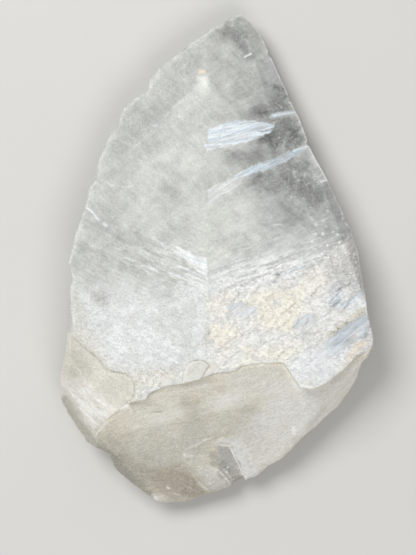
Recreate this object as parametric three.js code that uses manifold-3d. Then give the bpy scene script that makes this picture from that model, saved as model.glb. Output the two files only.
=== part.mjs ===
// A twinned calcite crystal the size of a hand, lying on its back.
// Millimetres. +X is to the right of the crystal's face, +Y runs to its point and +Z is up, away from the
// surface that it rests on. The origin is under the middle of the crystal, on that surface.
// The crystal is one solid: a thick plate cut to its outline, shaved by flat growth and cleavage faces, with
// steps built up on the faces and chips broken off the rim.
import * as THREE from 'three';
import { mergeVertices } from 'three/addons/utils/BufferGeometryUtils.js';
import Module from 'manifold-3d';

const wasm = await Module();
wasm.setup();

// Driving dimensions
const STOCK_TOP = 60; // height of the block that the faces are cut from
const SEAM_X = -4; // the twin seam runs along Y at this x
const SEAM_THICK = { y: -52, z: 38.5 }; // the seam's height at the broken base, the thickest place
const SEAM_THIN = { y: 109, z: 16.5 }; // and at the point
const ROOF_TILT = 3; // degrees that each twin half falls away from the seam
const ROOT = 4; // how deep what is built up on a face reaches into it

// Cleavage edges on the face run in two directions, 100 degrees apart as on a calcite rhomb.
const CLEAVAGE_A = THREE.MathUtils.degToRad(40);
const CLEAVAGE_B = THREE.MathUtils.degToRad(-60);

// The outline seen from above, clockwise from the point.
const RIM = [
  [8.5, 108.5], [10.5, 109.2], [13.5, 107.6], [16.5, 104.3], [19, 101.4],
  [23, 93], [28.5, 80.6], [32.5, 71.8], [38.5, 58], [41, 50], [42.8, 46], [48.3, 36], [54.3, 24], [59.4, 13],
  [62.4, 3], [63.4, -4.8], [64.6, -12.5], [66.4, -25], [67.8, -30], [69.2, -35], [68.6, -38], [66.6, -42.6],
  [63.6, -46], [61.8, -54], [58.4, -60], [54, -67],
  [49, -70.5], [44, -75.5], [40.4, -77.8], [36, -82.5], [29.2, -88.8], [23, -92.2], [19.4, -96.6],
  [14, -98.8], [6.5, -103.5], [2, -104.8], [-5, -107], [-16, -108.6], [-26.5, -109.2], [-28.4, -106.6],
  [-34, -103], [-41, -98], [-45.4, -92], [-47.2, -85.8], [-52.6, -83.4], [-59.7, -80.3],
  [-64.6, -73.5], [-69, -64.5], [-69.2, -61], [-68, -58], [-69.2, -52.5], [-66.5, -42.6],
  [-65, -29], [-63.8, -16.5], [-64.3, -12.8], [-62.8, -8.8], [-65.4, -0.8], [-62.8, 8.6],
  [-60.1, 17.4], [-57.9, 24], [-56, 31.8], [-54, 34.4], [-52.1, 43], [-49.9, 49], [-47.2, 55.2],
  [-43.8, 58.8], [-43.2, 62.8], [-41, 67.2], [-37, 70.8], [-30.2, 74.8], [-29.4, 80], [-25.9, 84.6],
  [-18.3, 90.4], [-11.7, 96.1], [-2.8, 102], [5, 106.6],
];

// Bevels down the right side, from the point: two smooth ones, the second a step behind the first, then a rough
// one. Each leaves the twin face along a line and lies drop lower than it at a place on the rim.
const RIGHT_BEVELS = [
  {
    line: [[10, 109], [24, 66]], rim: [23, 93], drop: 3.1,
    outline: [[10, 115], [10, 109], [24, 66], [24, 63], [35, 65.5], [50, 66], [50, 115]],
  },
  {
    line: [[24, 64], [34, 48]], rim: [38.5, 58], drop: 2.3,
    outline: [[24, 63], [34, 47.7], [41, 50.3], [60, 50], [60, 66], [35, 65.5]],
  },
  {
    line: [[49, 26], [64, -16]], rim: [60.8, 8.6], drop: 4.2,
    outline: [[44, 34], [49, 24], [63, -15], [64, -18], [80, -18], [80, 36]],
  },
];

// Flat faces along the rim, clockwise. Each runs between two places at the rim and leans inwards by lean degrees:
// the bevels as they go up, the undercuts as they go down.
const BEVELS = [
  { from: [64, -52, 19], to: [40, -80, 13], lean: 30 },
  { from: [14, -99.5, 12], to: [-26, -109.4, 11], lean: 50 },
  { from: [-26, -109, 12], to: [-46.5, -88, 21.5], lean: 40 },
  { from: [-53.9, -76.8, 26.4], to: [-65.9, -57.2, 25.4], lean: 28 },
  { from: [-46.3, -70.6, 33.2], to: [-61.4, -50.1, 30.6], lean: 58 },
  { from: [-64.5, -30, 29], to: [-66, 0, 26.5], lean: 30 },
];
const UNDERCUTS = [
  { from: [8, 109, 4], to: [19.5, 101.4, 4], lean: 42 },
  { from: [19.5, 101.4, 7], to: [59.9, 13, 12], lean: 32 },
  { from: [59.4, 13, 13], to: [69.5, -35, 15], lean: 24 },
  { from: [69, -35, 14], to: [52, -70, 10], lean: 36 },
  { from: [54, -67.5, 8], to: [19.4, -97.5, 8], lean: 42 },
  { from: [20, -96.6, 7], to: [-26.5, -109.8, 6.5], lean: 38 },
  { from: [-26, -109.5, 8], to: [-48, -86, 10], lean: 30 },
  { from: [-47.2, -86.5, 11], to: [-69.5, -66, 12], lean: 37 },
  { from: [-69.5, -62, 15], to: [-66.2, -0.8, 17], lean: 25 },
  { from: [-66, -1, 15], to: [-50.5, 49, 12], lean: 31 },
  { from: [-50.5, 49, 11], to: [-31, 75.5, 9], lean: 28 },
  { from: [-30.2, 79, 8], to: [8.5, 109.5, 5], lean: 35 },
];

// Up the left side and round the point only the very edge is worn away, by a width and a depth that vary.
const WORN_EDGE = { above: -4, leftOf: 12, width: [0.4, 1.2], drop: [0.5, 1.4], reach: 3 };

// The left block stands lower than the face. A face here lies through three places, within its outline.
const BLOCK = {
  face: [[-36, -53, 36], [-60, -34.5, 31.6], [-46.3, -70.6, 33.4]],
  outline: [
    [-80, -32], [-66, -32], [-61.9, -33.7], [-59.2, -36.3], [-53.9, -40.3], [-49.9, -43.9], [-47.2, -48.3],
    [-39.2, -49.7], [-36.6, -51.9], [-35.2, -54.6], [-35.2, -59], [-37, -62.2], [-39.2, -62.8],
    [-46.3, -68.8], [-55.2, -79], [-60, -86], [-80, -86],
  ],
};

// Where the twin faces end in a ragged step over the broken base, from the left rim to the right.
const LEDGE = [
  [-58.5, -81.5], [-55.2, -79], [-46.3, -68.8], [-39.2, -62.8], [-35.2, -61.8], [-30.8, -61.2], [-28.6, -58],
  [-20.6, -54.8], [-14.8, -54.2], [-7.2, -51.9], [-0.6, -49.6], [8.3, -48.6], [10.6, -46.4], [19.4, -45.2],
  [29.2, -45.2], [36.3, -56], [42.6, -57], [48.3, -54.6], [55, -49.2], [60.8, -43.2], [65.7, -39.9],
  [72, -37],
];

// Below the ledge, two broad cleavage faces meet at a slanting crease, and a third falls away at the right.
const BASE = [...LEDGE, [90, -37], [90, -130], [-75, -130], [-75, -81.5]];
const BASE_LEFT = [[-39, -62.6, 34.8], [29, -45, 34.6], [-26, -109, 13]];
const BASE_RIGHT = [[-15.2, -85.7, 21.9], [35.9, -56.3, 28.9], [29, -89, 14]];
const BASE_CORNER = {
  face: [[43, -60, 26.1], [56, -68, 20.35], [66, -44, 27.6]],
  outline: [
    [42.6, -57], [48.3, -54.6], [55, -49.2], [60.8, -43.2], [65.7, -39.9], [80, -34], [80, -76], [54, -70],
    [40, -61],
  ],
};

// At the bottom a low slab stands out of the base, a groove sinks beside it and a second block stands left of
// the groove.
const SLAB = {
  face: [[2.1, -79, 22.9], [11.9, -81.2, 20.5], [18.6, -96.8, 12.7]],
  outline: [
    [-0.8, -82.2], [2.1, -79], [7, -77.7], [10.6, -78.6], [11.9, -81.2], [13.7, -83.9], [15.9, -90.6],
    [18.8, -96.8], [20, -100], [13.5, -102], [11.4, -94.6], [8.3, -88.3], [5.7, -82.6],
  ],
};
const GROOVE = {
  face: [[8.3, -88.3, 16.2], [11.4, -94.6, 12.5], [1.2, -88.7, 18.2]],
  outline: [
    [-0.1, -81.9], [5.7, -82.6], [8.3, -88.3], [11.4, -94.6], [13.5, -102], [8.3, -103], [6.1, -96.8],
    [2.1, -91.4], [0.3, -86.1],
  ],
};
const LOW_BLOCK = {
  face: [[-10.8, -94.6, 17.4], [0.8, -94.6, 16.2], [3.9, -104.8, 11.3]],
  outline: [
    [-11, -94.8], [-7.6, -93.2], [-4.1, -92], [0.8, -93.6], [4.2, -97.2], [6.6, -101.2], [4.2, -106],
    [-2.8, -104], [-7.6, -99.6],
  ],
};

// A small crystal on the ledge beside the seam, with how far its first, fourth and sixth corners stand proud.
const SMALL_CRYSTAL = {
  proud: [0.7, 1.4, 1.1],
  outline: [
    [-14.8, -54.1], [-14.3, -49.2], [-12.1, -45.2], [-9, -43.9], [-5.4, -44.3], [-3.2, -46.1], [-5, -49.2],
    [-7.2, -52.3],
  ],
};

// At the right end of the ledge the face bends down to two smooth cleavage faces, given as lifts from the twin face
// at three places.
const CORNER_FACES = [
  {
    lifts: [[47, -38, 0], [64.8, -24, -0.5], [64, -34.5, -1.8]],
    outline: [
      [31, -54], [47, -38], [51.4, -33.2], [57.7, -27.9], [64.8, -24], [80, -18], [80, -60], [40, -70],
    ],
  },
  {
    lifts: [[66, -30, -1.47], [58, -46.5, -2.61], [69, -37, -4.4]],
    outline: [[66, -29], [58, -47.5], [80, -47.5], [80, -29]],
  },
];

// Striae: low saw teeth that slope down to the seam from both sides.
const STRIA = { low: 0.05, high: 0.22 };
const STRIAE = [
  { from: [-30.3, 11.2], to: [-8.6, -1.2], width: 1.3 },
  { from: [-35.2, -2.1], to: [-4.3, -11.9], width: 1.4 },
  { from: [-20.8, -1.2], to: [-4.3, -8.3], width: 1.2 },
  { from: [-1.9, -7.9], to: [21.5, -3], width: 1.2 },
  { from: [5.2, -9.7], to: [27.9, -3.9], width: 1.2 },
  { from: [20.2, -8.8], to: [39.3, -1.7], width: 1.4 },
];

// The lower face is broken into overlapping rhombic plates right of the seam, and just above the ledge left of
// it.
const FROST = [
  {
    count: 84, lift: 0.8, length: [3.5, 10], width: [2, 4.5],
    zone: [
      [-3, -12], [10.6, -7.9], [37.2, 0.6], [55, 5], [58, -4], [60.5, -18], [60, -26], [50, -34], [45, -42],
      [52, -45], [56, -46], [50, -52], [37.5, -55], [30.5, -44.5], [10.6, -44], [-3, -48],
    ],
  },
  {
    count: 16, lift: 0.5, length: [2, 5], width: [1.2, 2.6],
    zone: [[-34.6, -51], [-31.2, -44], [-20.6, -45.7], [-15, -47.4], [-15, -53.5], [-25, -55.5], [-32.4, -60]],
  },
];

// Bites out of the walls, small ones high up and long ones lower down that lean with the undercut. Height is a
// share of the crystal's thickness there, and lean is in degrees.
const BITE_DEPTH = 12;
const BITE_TURN = 10; // degrees either way from the line of the rim
const BITES = [
  { count: 46, long: [2.5, 7], tall: [2, 6], deep: [0.4, 1.3], height: [0.45, 0.85], lean: [-34, 34] },
  { count: 44, long: [7, 20], tall: [3, 7], deep: [0.6, 1.8], height: [0.08, 0.4], lean: [8, 40] },
];
const UNDERCUT_TOP = 11; // the walls draw in below about this height,
const UNDERCUT_DRAW = 0.6; // by this much for each millimetre

// Repeatable random numbers from low to high.
let seed = 11;
function random(low, high) {
  seed = (seed + 0x6d2b79f5) | 0;
  let mix = Math.imul(seed ^ (seed >>> 15), 1 | seed);
  mix = (mix + Math.imul(mix ^ (mix >>> 7), 61 | mix)) ^ mix;
  return low + (high - low) * (((mix ^ (mix >>> 14)) >>> 0) / 2 ** 32);
}

// Whether a place is inside an outline.
function inside(outline, [x, y]) {
  let within = false;
  outline.forEach(([x1, y1], i) => {
    const [x2, y2] = outline.at(i - 1);
    if ((y1 > y) !== (y2 > y) && x < x1 + (x2 - x1) * (y - y1) / (y2 - y1)) within = !within;
  });
  return within;
}

// A closed geometry as a manifold-3d solid.
function solidOf(geometry) {
  const bare = geometry.index ? geometry.toNonIndexed() : geometry.clone();
  bare.deleteAttribute('normal');
  bare.deleteAttribute('uv');
  const merged = mergeVertices(bare, 1e-4);
  return new wasm.Manifold(new wasm.Mesh({
    numProp: 3,
    vertProperties: merged.attributes.position.array,
    triVerts: new Uint32Array(merged.index.array),
  }));
}

// A solid back as a three.js geometry with flat faces.
function geometryOf(solid) {
  const mesh = solid.getMesh();
  const geometry = new THREE.BufferGeometry();
  geometry.setAttribute('position', new THREE.BufferAttribute(new Float32Array(mesh.vertProperties), 3));
  geometry.setIndex(new THREE.BufferAttribute(new Uint32Array(mesh.triVerts), 1));
  const flat = geometry.toNonIndexed();
  flat.computeVertexNormals();
  return flat;
}

// An upright prism over an outline.
function prism(outline, low, high) {
  const shape = new THREE.Shape(outline.map(([x, y]) => new THREE.Vector2(x, y)));
  const geometry = new THREE.ExtrudeGeometry(shape, { depth: high - low, bevelEnabled: false });
  return solidOf(geometry.translate(0, 0, low));
}

// Everything on the side of the plane through a, b and c that faces up (side 1) or down (side -1).
function beyond([a, b, c], side) {
  const [p, q, r] = [a, b, c].map((v) => new THREE.Vector3(...v));
  const normal = q.clone().sub(p).cross(r.clone().sub(p)).normalize();
  if (Math.sign(normal.z) !== side) normal.negate();
  const turn = new THREE.Quaternion().setFromUnitVectors(new THREE.Vector3(0, 0, 1), normal);
  const block = new THREE.BoxGeometry(600, 600, 300).translate(0, 0, 150);
  return solidOf(block.applyQuaternion(turn).translate(p.x, p.y, p.z));
}

// Height of the twin faces at a place.
function roof(x, y) {
  const rise = (SEAM_THICK.z - SEAM_THIN.z) / (SEAM_THIN.y - SEAM_THICK.y);
  const seam = SEAM_THIN.z + (SEAM_THIN.y - y) * rise;
  return seam - Math.abs(x - SEAM_X) * Math.tan(THREE.MathUtils.degToRad(ROOF_TILT));
}

// A place on the twin faces, or as much above them as lift says.
function onRoof([x, y], lift = 0) {
  return [x, y, roof(x, y) + lift];
}

let crystal = prism(RIM, 0, STOCK_TOP);

// Takes away what stands over a face, within an outline.
function carve(outline, face) {
  crystal = crystal.subtract(prism(outline, 0, STOCK_TOP).intersect(beyond(face, 1)));
}

// Builds the crystal up to a face, within an outline.
function grow(outline, face) {
  const root = Math.min(...face.map((place) => place[2])) - ROOT;
  crystal = crystal.add(prism(outline, root, STOCK_TOP).subtract(beyond(face, 1)));
}

// Cuts a flat face that runs between two places at the rim and leans inwards as it goes up (side 1) or down (-1).
function shave({ from, to, lean }, side) {
  const along = new THREE.Vector2(to[0] - from[0], to[1] - from[1]).normalize();
  const inwards = Math.tan(THREE.MathUtils.degToRad(lean));
  const third = [from[0] + along.y * inwards, from[1] - along.x * inwards, from[2] + side];
  crystal = crystal.subtract(beyond([from, to, third], side));
}

// The two twin faces meet along the seam.
for (const side of [-1, 1]) {
  const places = [[SEAM_X, SEAM_THIN.y], [SEAM_X, SEAM_THICK.y], [SEAM_X + side, 0]];
  crystal = crystal.subtract(beyond(places.map((place) => onRoof(place)), 1));
}

for (const { line, rim, drop, outline } of RIGHT_BEVELS) {
  carve(outline, [onRoof(line[0]), onRoof(line[1]), onRoof(rim, -drop)]);
}

carve(BLOCK.outline, BLOCK.face);
carve(BASE, BASE_LEFT);
carve(BASE, BASE_RIGHT);
carve(BASE_CORNER.outline, BASE_CORNER.face);
grow(SLAB.outline, SLAB.face);
grow(LOW_BLOCK.outline, LOW_BLOCK.face);
carve(GROOVE.outline, GROOVE.face);
crystal = crystal.intersect(prism(RIM, 0, STOCK_TOP));

for (const bevel of BEVELS) shave(bevel, 1);
for (const undercut of UNDERCUTS) shave(undercut, -1);

RIM.forEach(([x2, y2], i) => {
  const [x1, y1] = RIM.at(i - 1);
  if (Math.min(y1, y2) < WORN_EDGE.above || Math.max(x1, x2) > WORN_EDGE.leftOf) return;
  const [width, drop] = [random(...WORN_EDGE.width), random(...WORN_EDGE.drop)];
  const length = Math.hypot(x2 - x1, y2 - y1);
  const [outX, outY] = [(y1 - y2) / length, (x2 - x1) / length];
  const aside = (x, y, by) => [x + outX * by, y + outY * by];
  const { reach } = WORN_EDGE;
  const strip = [aside(x1, y1, -reach), aside(x2, y2, -reach), aside(x2, y2, reach), aside(x1, y1, reach)];
  carve(strip, [onRoof([x1, y1], -drop), onRoof([x2, y2], -drop), onRoof(aside(x1, y1, -width))]);
});

const [left, top, , right] = [0, 3, 4, 5].map((corner) => SMALL_CRYSTAL.outline[corner]);
grow(SMALL_CRYSTAL.outline, [left, top, right].map((place, i) => onRoof(place, SMALL_CRYSTAL.proud[i])));

for (const { from: [x1, y1], to: [x2, y2], width } of STRIAE) {
  const [x, y] = [(x1 + x2) / 2, (y1 + y2) / 2];
  const outline = [[x1, y1], [x1, y1 - width * 0.4], [x2, y2 - width * 0.4], [x2, y2], [x, y + width * 0.6]];
  const crest = [x, y - width * 0.4];
  grow(outline, [onRoof([x1, y1], STRIA.low), onRoof([x2, y2], STRIA.low), onRoof(crest, STRIA.high)]);
}

// A rhomb about a place, its sides along the cleavage directions.
function rhomb([x, y], length, width) {
  const [ax, ay] = [Math.cos(CLEAVAGE_A) * length / 2, Math.sin(CLEAVAGE_A) * length / 2];
  const [bx, by] = [Math.cos(CLEAVAGE_B) * width / 2, Math.sin(CLEAVAGE_B) * width / 2];
  return [[-1, -1], [1, -1], [1, 1], [-1, 1]].map(([a, b]) => [x + a * ax + b * bx, y + a * ay + b * by]);
}

for (const { count, lift, length, width, zone } of FROST) {
  const [xs, ys] = [0, 1].map((axis) => zone.map((place) => place[axis]));
  for (let placed = 0; placed < count;) {
    const middle = [random(Math.min(...xs), Math.max(...xs)), random(Math.min(...ys), Math.max(...ys))];
    const plate = rhomb(middle, random(...length), random(...width));
    if (plate.every((corner) => inside(zone, corner))) {
      const lifts = [random(0.05, 0.5), random(0.3, 1), random(0.2, 0.9)];
      grow(plate, lifts.map((share, i) => onRoof(plate[i], share * lift)));
      placed += 1;
    }
  }
}

for (const { outline, lifts } of CORNER_FACES) carve(outline, lifts.map(([x, y, lift]) => onRoof([x, y], lift)));

for (const { count, long, tall, deep, height, lean } of BITES) {
  for (let taken = 0; taken < count; taken += 1) {
    const at = Math.floor(random(0, RIM.length));
    const [before, p, q, after] = [-2, -1, 0, 1].map((step) => RIM.at((at + step) % RIM.length));
    const share = random(0, 1);
    const [x, y] = [0, 1].map((axis) => p[axis] + (q[axis] - p[axis]) * share);
    const z = roof(x, y) * random(...height);
    const reach = random(...deep) + Math.max(0, UNDERCUT_TOP - z) * UNDERCUT_DRAW;
    const turn = THREE.MathUtils.degToRad(random(-BITE_TURN, BITE_TURN));
    const bite = new THREE.BoxGeometry(random(...long), BITE_DEPTH, random(...tall));
    bite.translate(0, BITE_DEPTH / 2 - reach, 0);
    bite.rotateX(THREE.MathUtils.degToRad(random(...lean)));
    bite.rotateY(THREE.MathUtils.degToRad(random(-BITE_TURN, BITE_TURN)));
    bite.rotateZ(Math.atan2(after[1] - before[1], after[0] - before[0]) + turn);
    crystal = crystal.subtract(solidOf(bite.translate(x, y, z)));
  }
}

const calcite = new THREE.MeshStandardMaterial({ color: 0xd9dcd8, roughness: 0.35, metalness: 0 });
const specimen = new THREE.Group();
const mesh = new THREE.Mesh(geometryOf(crystal), calcite);
mesh.name = 'calcite_crystal';
specimen.add(mesh);

export default specimen;
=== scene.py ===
import itertools
import math

import bmesh
import bpy
import numpy as np
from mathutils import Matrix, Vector, geometry, kdtree


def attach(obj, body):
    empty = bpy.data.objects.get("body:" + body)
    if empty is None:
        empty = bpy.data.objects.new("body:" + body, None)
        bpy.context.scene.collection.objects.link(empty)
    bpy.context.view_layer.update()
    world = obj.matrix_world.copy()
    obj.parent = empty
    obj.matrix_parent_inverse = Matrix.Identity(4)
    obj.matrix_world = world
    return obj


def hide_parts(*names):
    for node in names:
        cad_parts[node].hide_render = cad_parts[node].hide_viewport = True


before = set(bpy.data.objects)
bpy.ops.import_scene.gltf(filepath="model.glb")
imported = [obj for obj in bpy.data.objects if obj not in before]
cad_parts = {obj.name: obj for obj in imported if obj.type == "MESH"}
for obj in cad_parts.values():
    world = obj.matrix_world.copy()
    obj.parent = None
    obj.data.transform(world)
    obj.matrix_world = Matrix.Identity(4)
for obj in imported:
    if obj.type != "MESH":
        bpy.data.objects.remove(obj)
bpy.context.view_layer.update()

mm = 0.001


# the crystal's surface, cut finer than the solid so that it can carry frost, striae and chips
crystal = {
    "facingUp": 0.2,  # a face whose normal rises more than this belongs to the front
    "facingDown": -0.95,
    "flatness": 0.003,  # mm that a triangle may leave its facet's plane
    "sameNormal": 0.9995,  # how alike two normals in one facet are
    "smallArea": 0.005,  # mm2 below which a triangle's normal doesn't count
    "creaseTurn": 0.8,  # how alike the normals on both sides of a worn edge are at most
    "creaseHeight": 1.2,  # mm that the steeper side of a worn edge is tall at least
    "rowPitch": 0.87,  # rows of points stand closer than the points in them
    "jitter": 0.22,  # how far the points stray from an even grid, as a share of their spacing
    "clearance": 0.5,  # how far they keep from a facet's edge, as a share of it too
    "lineSpacing": 0.4,  # mm between points along the fine lines and bands
    "lineMargin": 0.4,  # mm beyond a line's width where the points stand as close
    "reflectionBandMargin": 0.5,
    "frostSpacing": 0.5,  # where the face is frosted
    "frontSpacing": 0.75,  # elsewhere on the front
    "wallSpacing": 1.3,
    "backSpacing": 4.0,
    "seamX": -4.0,
    "cleavageA": 40.0,  # degrees from +X
    "cleavageB": -60.0,
    "seed": 5,
}

# places on the face, in mm
zones = {
    "frostRight": [(-10, -10), (10.6, -7.9), (30, -2), (45, 1), (58, 9), (75, 12), (75, -60), (36, -60),
        (-10, -60)],
    "frostLeft": [(-80, -16), (-57, -15), (-44, -10), (-30, -9), (-20, -13), (4, -14), (4, -70), (-36, -70),
        (-80, -40)],
    "base": [(-59.5, -81.5), (-46.6, -68), (-39.2, -62), (-30.8, -60.4), (-20.6, -54), (-7.2, -51),
        (8.3, -47.8), (10, -45.6), (19.4, -44.4), (29.6, -44.4), (36.6, -55), (42.6, -56), (48, -53.8),
        (55, -48.4), (60.8, -42.4), (80, -33), (80, -120), (-60, -120)],
    "block": [(-80, -31), (-61.9, -32.7), (-53, -39.6), (-46.8, -47.5), (-39, -49), (-34.4, -54.6),
        (-34.4, -59.5), (-37, -62.2), (-46.3, -68.8), (-58.5, -81.5), (-80, -86)],
}

# bright cleavage bands, their bluish white a painted reflection: strength, cover, how blue, streak direction
# in degrees and outline
bandsWithPaintedReflection = [
    (1, 1, 0.75, 14, [(-3.6, 56.8), (3.9, 59.7), (9.7, 61.3), (16.8, 61), (22.7, 60), (26, 58.9),
        (24.4, 56.2), (20.2, 54), (14.6, 51.9), (7.8, 50.2), (1.3, 49), (-4.6, 47.2), (-4.6, 50.6),
        (-3.2, 51.3), (-3.9, 53.8)]),
    (0.75, 1, 0.9, 20, [(23.3, 61.9), (24.6, 64.1), (28.5, 65.4), (35, 66.4), (36.5, 65.2), (29.8, 63.2),
        (24.6, 61.4)]),
    (1, 0.85, 1, 25, [(40.8, 51.2), (38.1, 50.3), (34.1, 48.6), (29.7, 45.9), (20.3, 42.8), (12.8, 39.2),
        (7, 36.6), (8.3, 35.7), (15, 37), (23.9, 39.7), (30.6, 42.8), (35.9, 46.8), (41.2, 49.9)]),
    (0.6, 1, 0.25, 30, [(-3.7, 31), (7, 36), (12.8, 36.6), (10.6, 32.6), (2.6, 27.7), (-3.7, 23.2)]),
    (0.9, 1, 0.25, -30, [(-17.9, 5.9), (-11.7, 2.8), (-8.1, 1.4), (-4.2, 0.6), (-4, -5.7), (-4, -10.1),
        (-5.9, -7.4), (-10.8, -3), (-16.1, 2.3)]),
]

# cracks and cleavage lines, painted glints and a few lines of painted shade along creases: lightness, width
# in mm, strength, warmth and the line's points
linesPaintedGlintsAndShade = [
    (0.96, 0.45, 0.9, 0.1, [(-57.9, 23.7), (-54.8, 20.6), (-51.7, 17.4)]),
    # a painted glint at the crack's end
    (0.97, 0.65, 0.9, 0.1, [(-49.9, 16.1), (-47.4, 13.9)]),
    (0.88, 0.4, 0.7, 0, [(-30.3, 11.2), (-19.4, 3.7)]),
    (0.94, 0.6, 0.7, 0, [(-20.1, 4.6), (-8.6, -1.2)]),
    (0.9, 0.4, 0.8, 0, [(-35.2, -2.1), (-23.7, -5.2)]),
    (0.93, 0.45, 0.9, 0, [(-23.7, -4.8), (-4.1, -11.9)]),
    (0.93, 0.45, 0.9, 0, [(-20.8, -1.2), (-4.1, -8.3)]),
    (0.95, 0.4, 0.8, 0, [(-13.4, -6.1), (-4.1, -10.1)]),
    (0.92, 0.4, 0.7, 0, [(-1.9, -7.9), (21.5, -3)]),
    (0.94, 0.45, 0.8, 0, [(5.2, -9.7), (27.9, -3.9)]),
    (0.94, 0.65, 0.9, 0, [(20.2, -8.8), (39.3, -1.7)]),
    (0.9, 0.45, 0.7, 0, [(31.4, -5.2), (46.1, 0.1)]),
    # painted shadow under a stria
    (0.6, 0.5, 0.8, 0.1, [(21.2, -6.1), (27, -6.8), (32.8, -3.9)]),
    (0.9, 0.4, 0.6, 0, [(35.4, 5.9), (46.9, 9.7)]),
    (0.92, 0.45, 0.7, 0, [(23.9, 15.2), (30.4, 14.8)]),
    (0.88, 0.4, 0.5, 0, [(7, 7.2), (14.1, 13.4)]),
    (0.86, 0.4, 0.6, 0, [(25.9, 69.7), (29.7, 66.3)]),
    (0.88, 0.35, 0.35, 0.1, [(-5, 78.8), (-14, 71), (-23.2, 62.4)]),
    (0.86, 0.35, 0.4, 0.1, [(-23.2, 62.4), (-38, 47)]),
    (0.9, 0.35, 0.35, 0, [(-47, 33), (-41, 31.5), (-36.4, 32.2)]),
    (0.88, 0.35, 0.4, 0, [(-33, 57), (-27, 59), (-22, 58)]),
    # a painted glint near the top
    (0.98, 0.45, 0.9, 0, [(11.9, 89), (16.3, 91.8)]),
    (0.92, 0.55, 0.8, 0.2, [(-15, -84.6), (-0.6, -78.1)]),
    # a painted glint at the crease
    (0.98, 0.8, 0.9, 0.1, [(-15.7, -86.1), (-9.9, -87.6)]),
    (0.86, 0.4, 0.7, 0.3, [(-20.1, -103.4), (-13, -107.4)]),
    (0.8, 0.4, 0.6, 0.5, [(-17.9, -98.1), (-9, -103.4)]),
    # painted shade in the groove's crease
    (0.55, 0.6, 0.8, 0.2, [(5.2, -83.4), (11.9, -94.5)]),
    (0.99, 0.6, 0.9, 0, [(-51.7, -66.1), (-46.6, -69.5)]),
    (0.96, 0.6, 0.9, 0, [(-61.3, -64.8), (-54.4, -70.1)]),
    (0.9, 0.45, 0.8, 0.3, [(-68.5, -55.4), (-62.3, -63.4), (-54.8, -75.4)]),
    (0.92, 0.5, 0.8, 0.4, [(-57.2, -80.3), (-53.1, -77.7), (-46.6, -69.5)]),
    # a painted glint
    (0.97, 0.8, 0.9, 0.1, [(-42.1, -65.4), (-38, -62.7)]),
    (0.74, 0.45, 0.8, 1, [(-46.3, -49), (-41.4, -49.1), (-36.6, -51.4), (-35.3, -55.2), (-35.7, -61.2)]),
    (0.76, 0.9, 0.6, 1, [(-61.3, -35.4), (-53.9, -41.2), (-46.9, -48.3)]),
    (0.62, 0.35, 0.6, 1.5, [(-28.8, -66.6), (-22.6, -66.9)]),
    (0.7, 0.7, 0.7, 1, [(49.2, -33.2), (57.2, -27.9), (64.8, -23)]),
    # a painted glint
    (0.99, 0.7, 0.9, 0, [(34.1, -73.2), (34.6, -76.8)]),
    (0.95, 0.9, 0.8, 0, [(-28.6, -103.4), (-25.9, -108.3)]),
    # a painted glint
    (0.97, 0.7, 0.8, 0, [(-22.3, -100.8), (-20.1, -102.1)]),
]


def smoothStep(low, high, values):
    share = np.clip((values - low) / (high - low), 0, 1)
    return share * share * (3 - 2 * share)


def segmentDistance(places, start, end):  # distance to a straight line and the share of the way along it
    start, end = np.array(start, float), np.array(end, float)
    along = end - start
    share = np.clip((places - start) @ along / (along @ along), 0, 1)
    return np.hypot(*(places - start - share[:, None] * along).T), share


def insideEdges(places, corners, edges):  # whether each place is inside the outline that loose edges make
    within = np.zeros(len(places), bool)
    for a, b in edges:
        (x1, y1), (x2, y2) = corners[a], corners[b]
        if y1 != y2:
            spans = (y1 > places[:, 1]) != (y2 > places[:, 1])
            within ^= spans & (places[:, 0] < x1 + (x2 - x1) * (places[:, 1] - y1) / (y2 - y1))
    return within


def edgeDistance(places, corners):  # distance to a closed outline, negative inside
    edges = [(index - 1, index) for index in range(len(corners))]
    nearest = np.minimum.reduce([segmentDistance(places, corners[a], corners[b])[0] for a, b in edges])
    return np.where(insideEdges(places, corners, edges), -nearest, nearest)


def crossesOf(places, cells):  # each triangle's normal, twice as long as its area
    one, two, three = (places[cells[:, side]] for side in range(3))
    return np.cross(two - one, three - one)


def treeOf(places):  # finds the nearest of some places
    tree = kdtree.KDTree(len(places))
    for index, place in enumerate(places):
        tree.insert(place, index)
    tree.balance()
    return tree


def spacingAt(places, normals):
    front = normals[:, 2] > crystal["facingUp"]
    frosted = (edgeDistance(places[:, :2], zones["frostRight"]) < 0) & front
    lined = np.zeros(len(places), bool)
    for *_, outline in bandsWithPaintedReflection:
        lined |= edgeDistance(places[:, :2], outline) < crystal["reflectionBandMargin"]
    for _, width, _, _, line in linesPaintedGlintsAndShade:
        for start, end in zip(line, line[1:]):
            lined |= segmentDistance(places[:, :2], start, end)[0] < width + crystal["lineMargin"]
    return np.select(
        [lined & front, frosted, front, normals[:, 2] < crystal["facingDown"]],
        [crystal[name] for name in ("lineSpacing", "frostSpacing", "frontSpacing", "backSpacing")],
        crystal["wallSpacing"],
    )


def solidOf(node):  # the CAD solid's corners in mm and its triangles, welded
    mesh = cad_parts[node].data
    mesh.calc_loop_triangles()
    corners = np.empty(len(mesh.vertices) * 3)
    mesh.vertices.foreach_get("co", corners)
    corners = corners.reshape(-1, 3) / mm
    triangles = np.empty(len(mesh.loop_triangles) * 3, int)
    mesh.loop_triangles.foreach_get("vertices", triangles)
    _, first, same = np.unique(np.round(corners, 3), axis=0, return_index=True, return_inverse=True)
    triangles = same.ravel()[triangles].reshape(-1, 3)
    kept = [len(set(triangle)) == 3 for triangle in triangles.tolist()]
    return corners[first], triangles[kept]


def sharedEdges(cells):  # the triangles on each edge
    beside = {}
    for index, cell in enumerate(cells):
        for side in range(3):
            beside.setdefault(frozenset((cell[side], cell[(side + 1) % 3])), []).append(index)
    return beside


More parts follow.
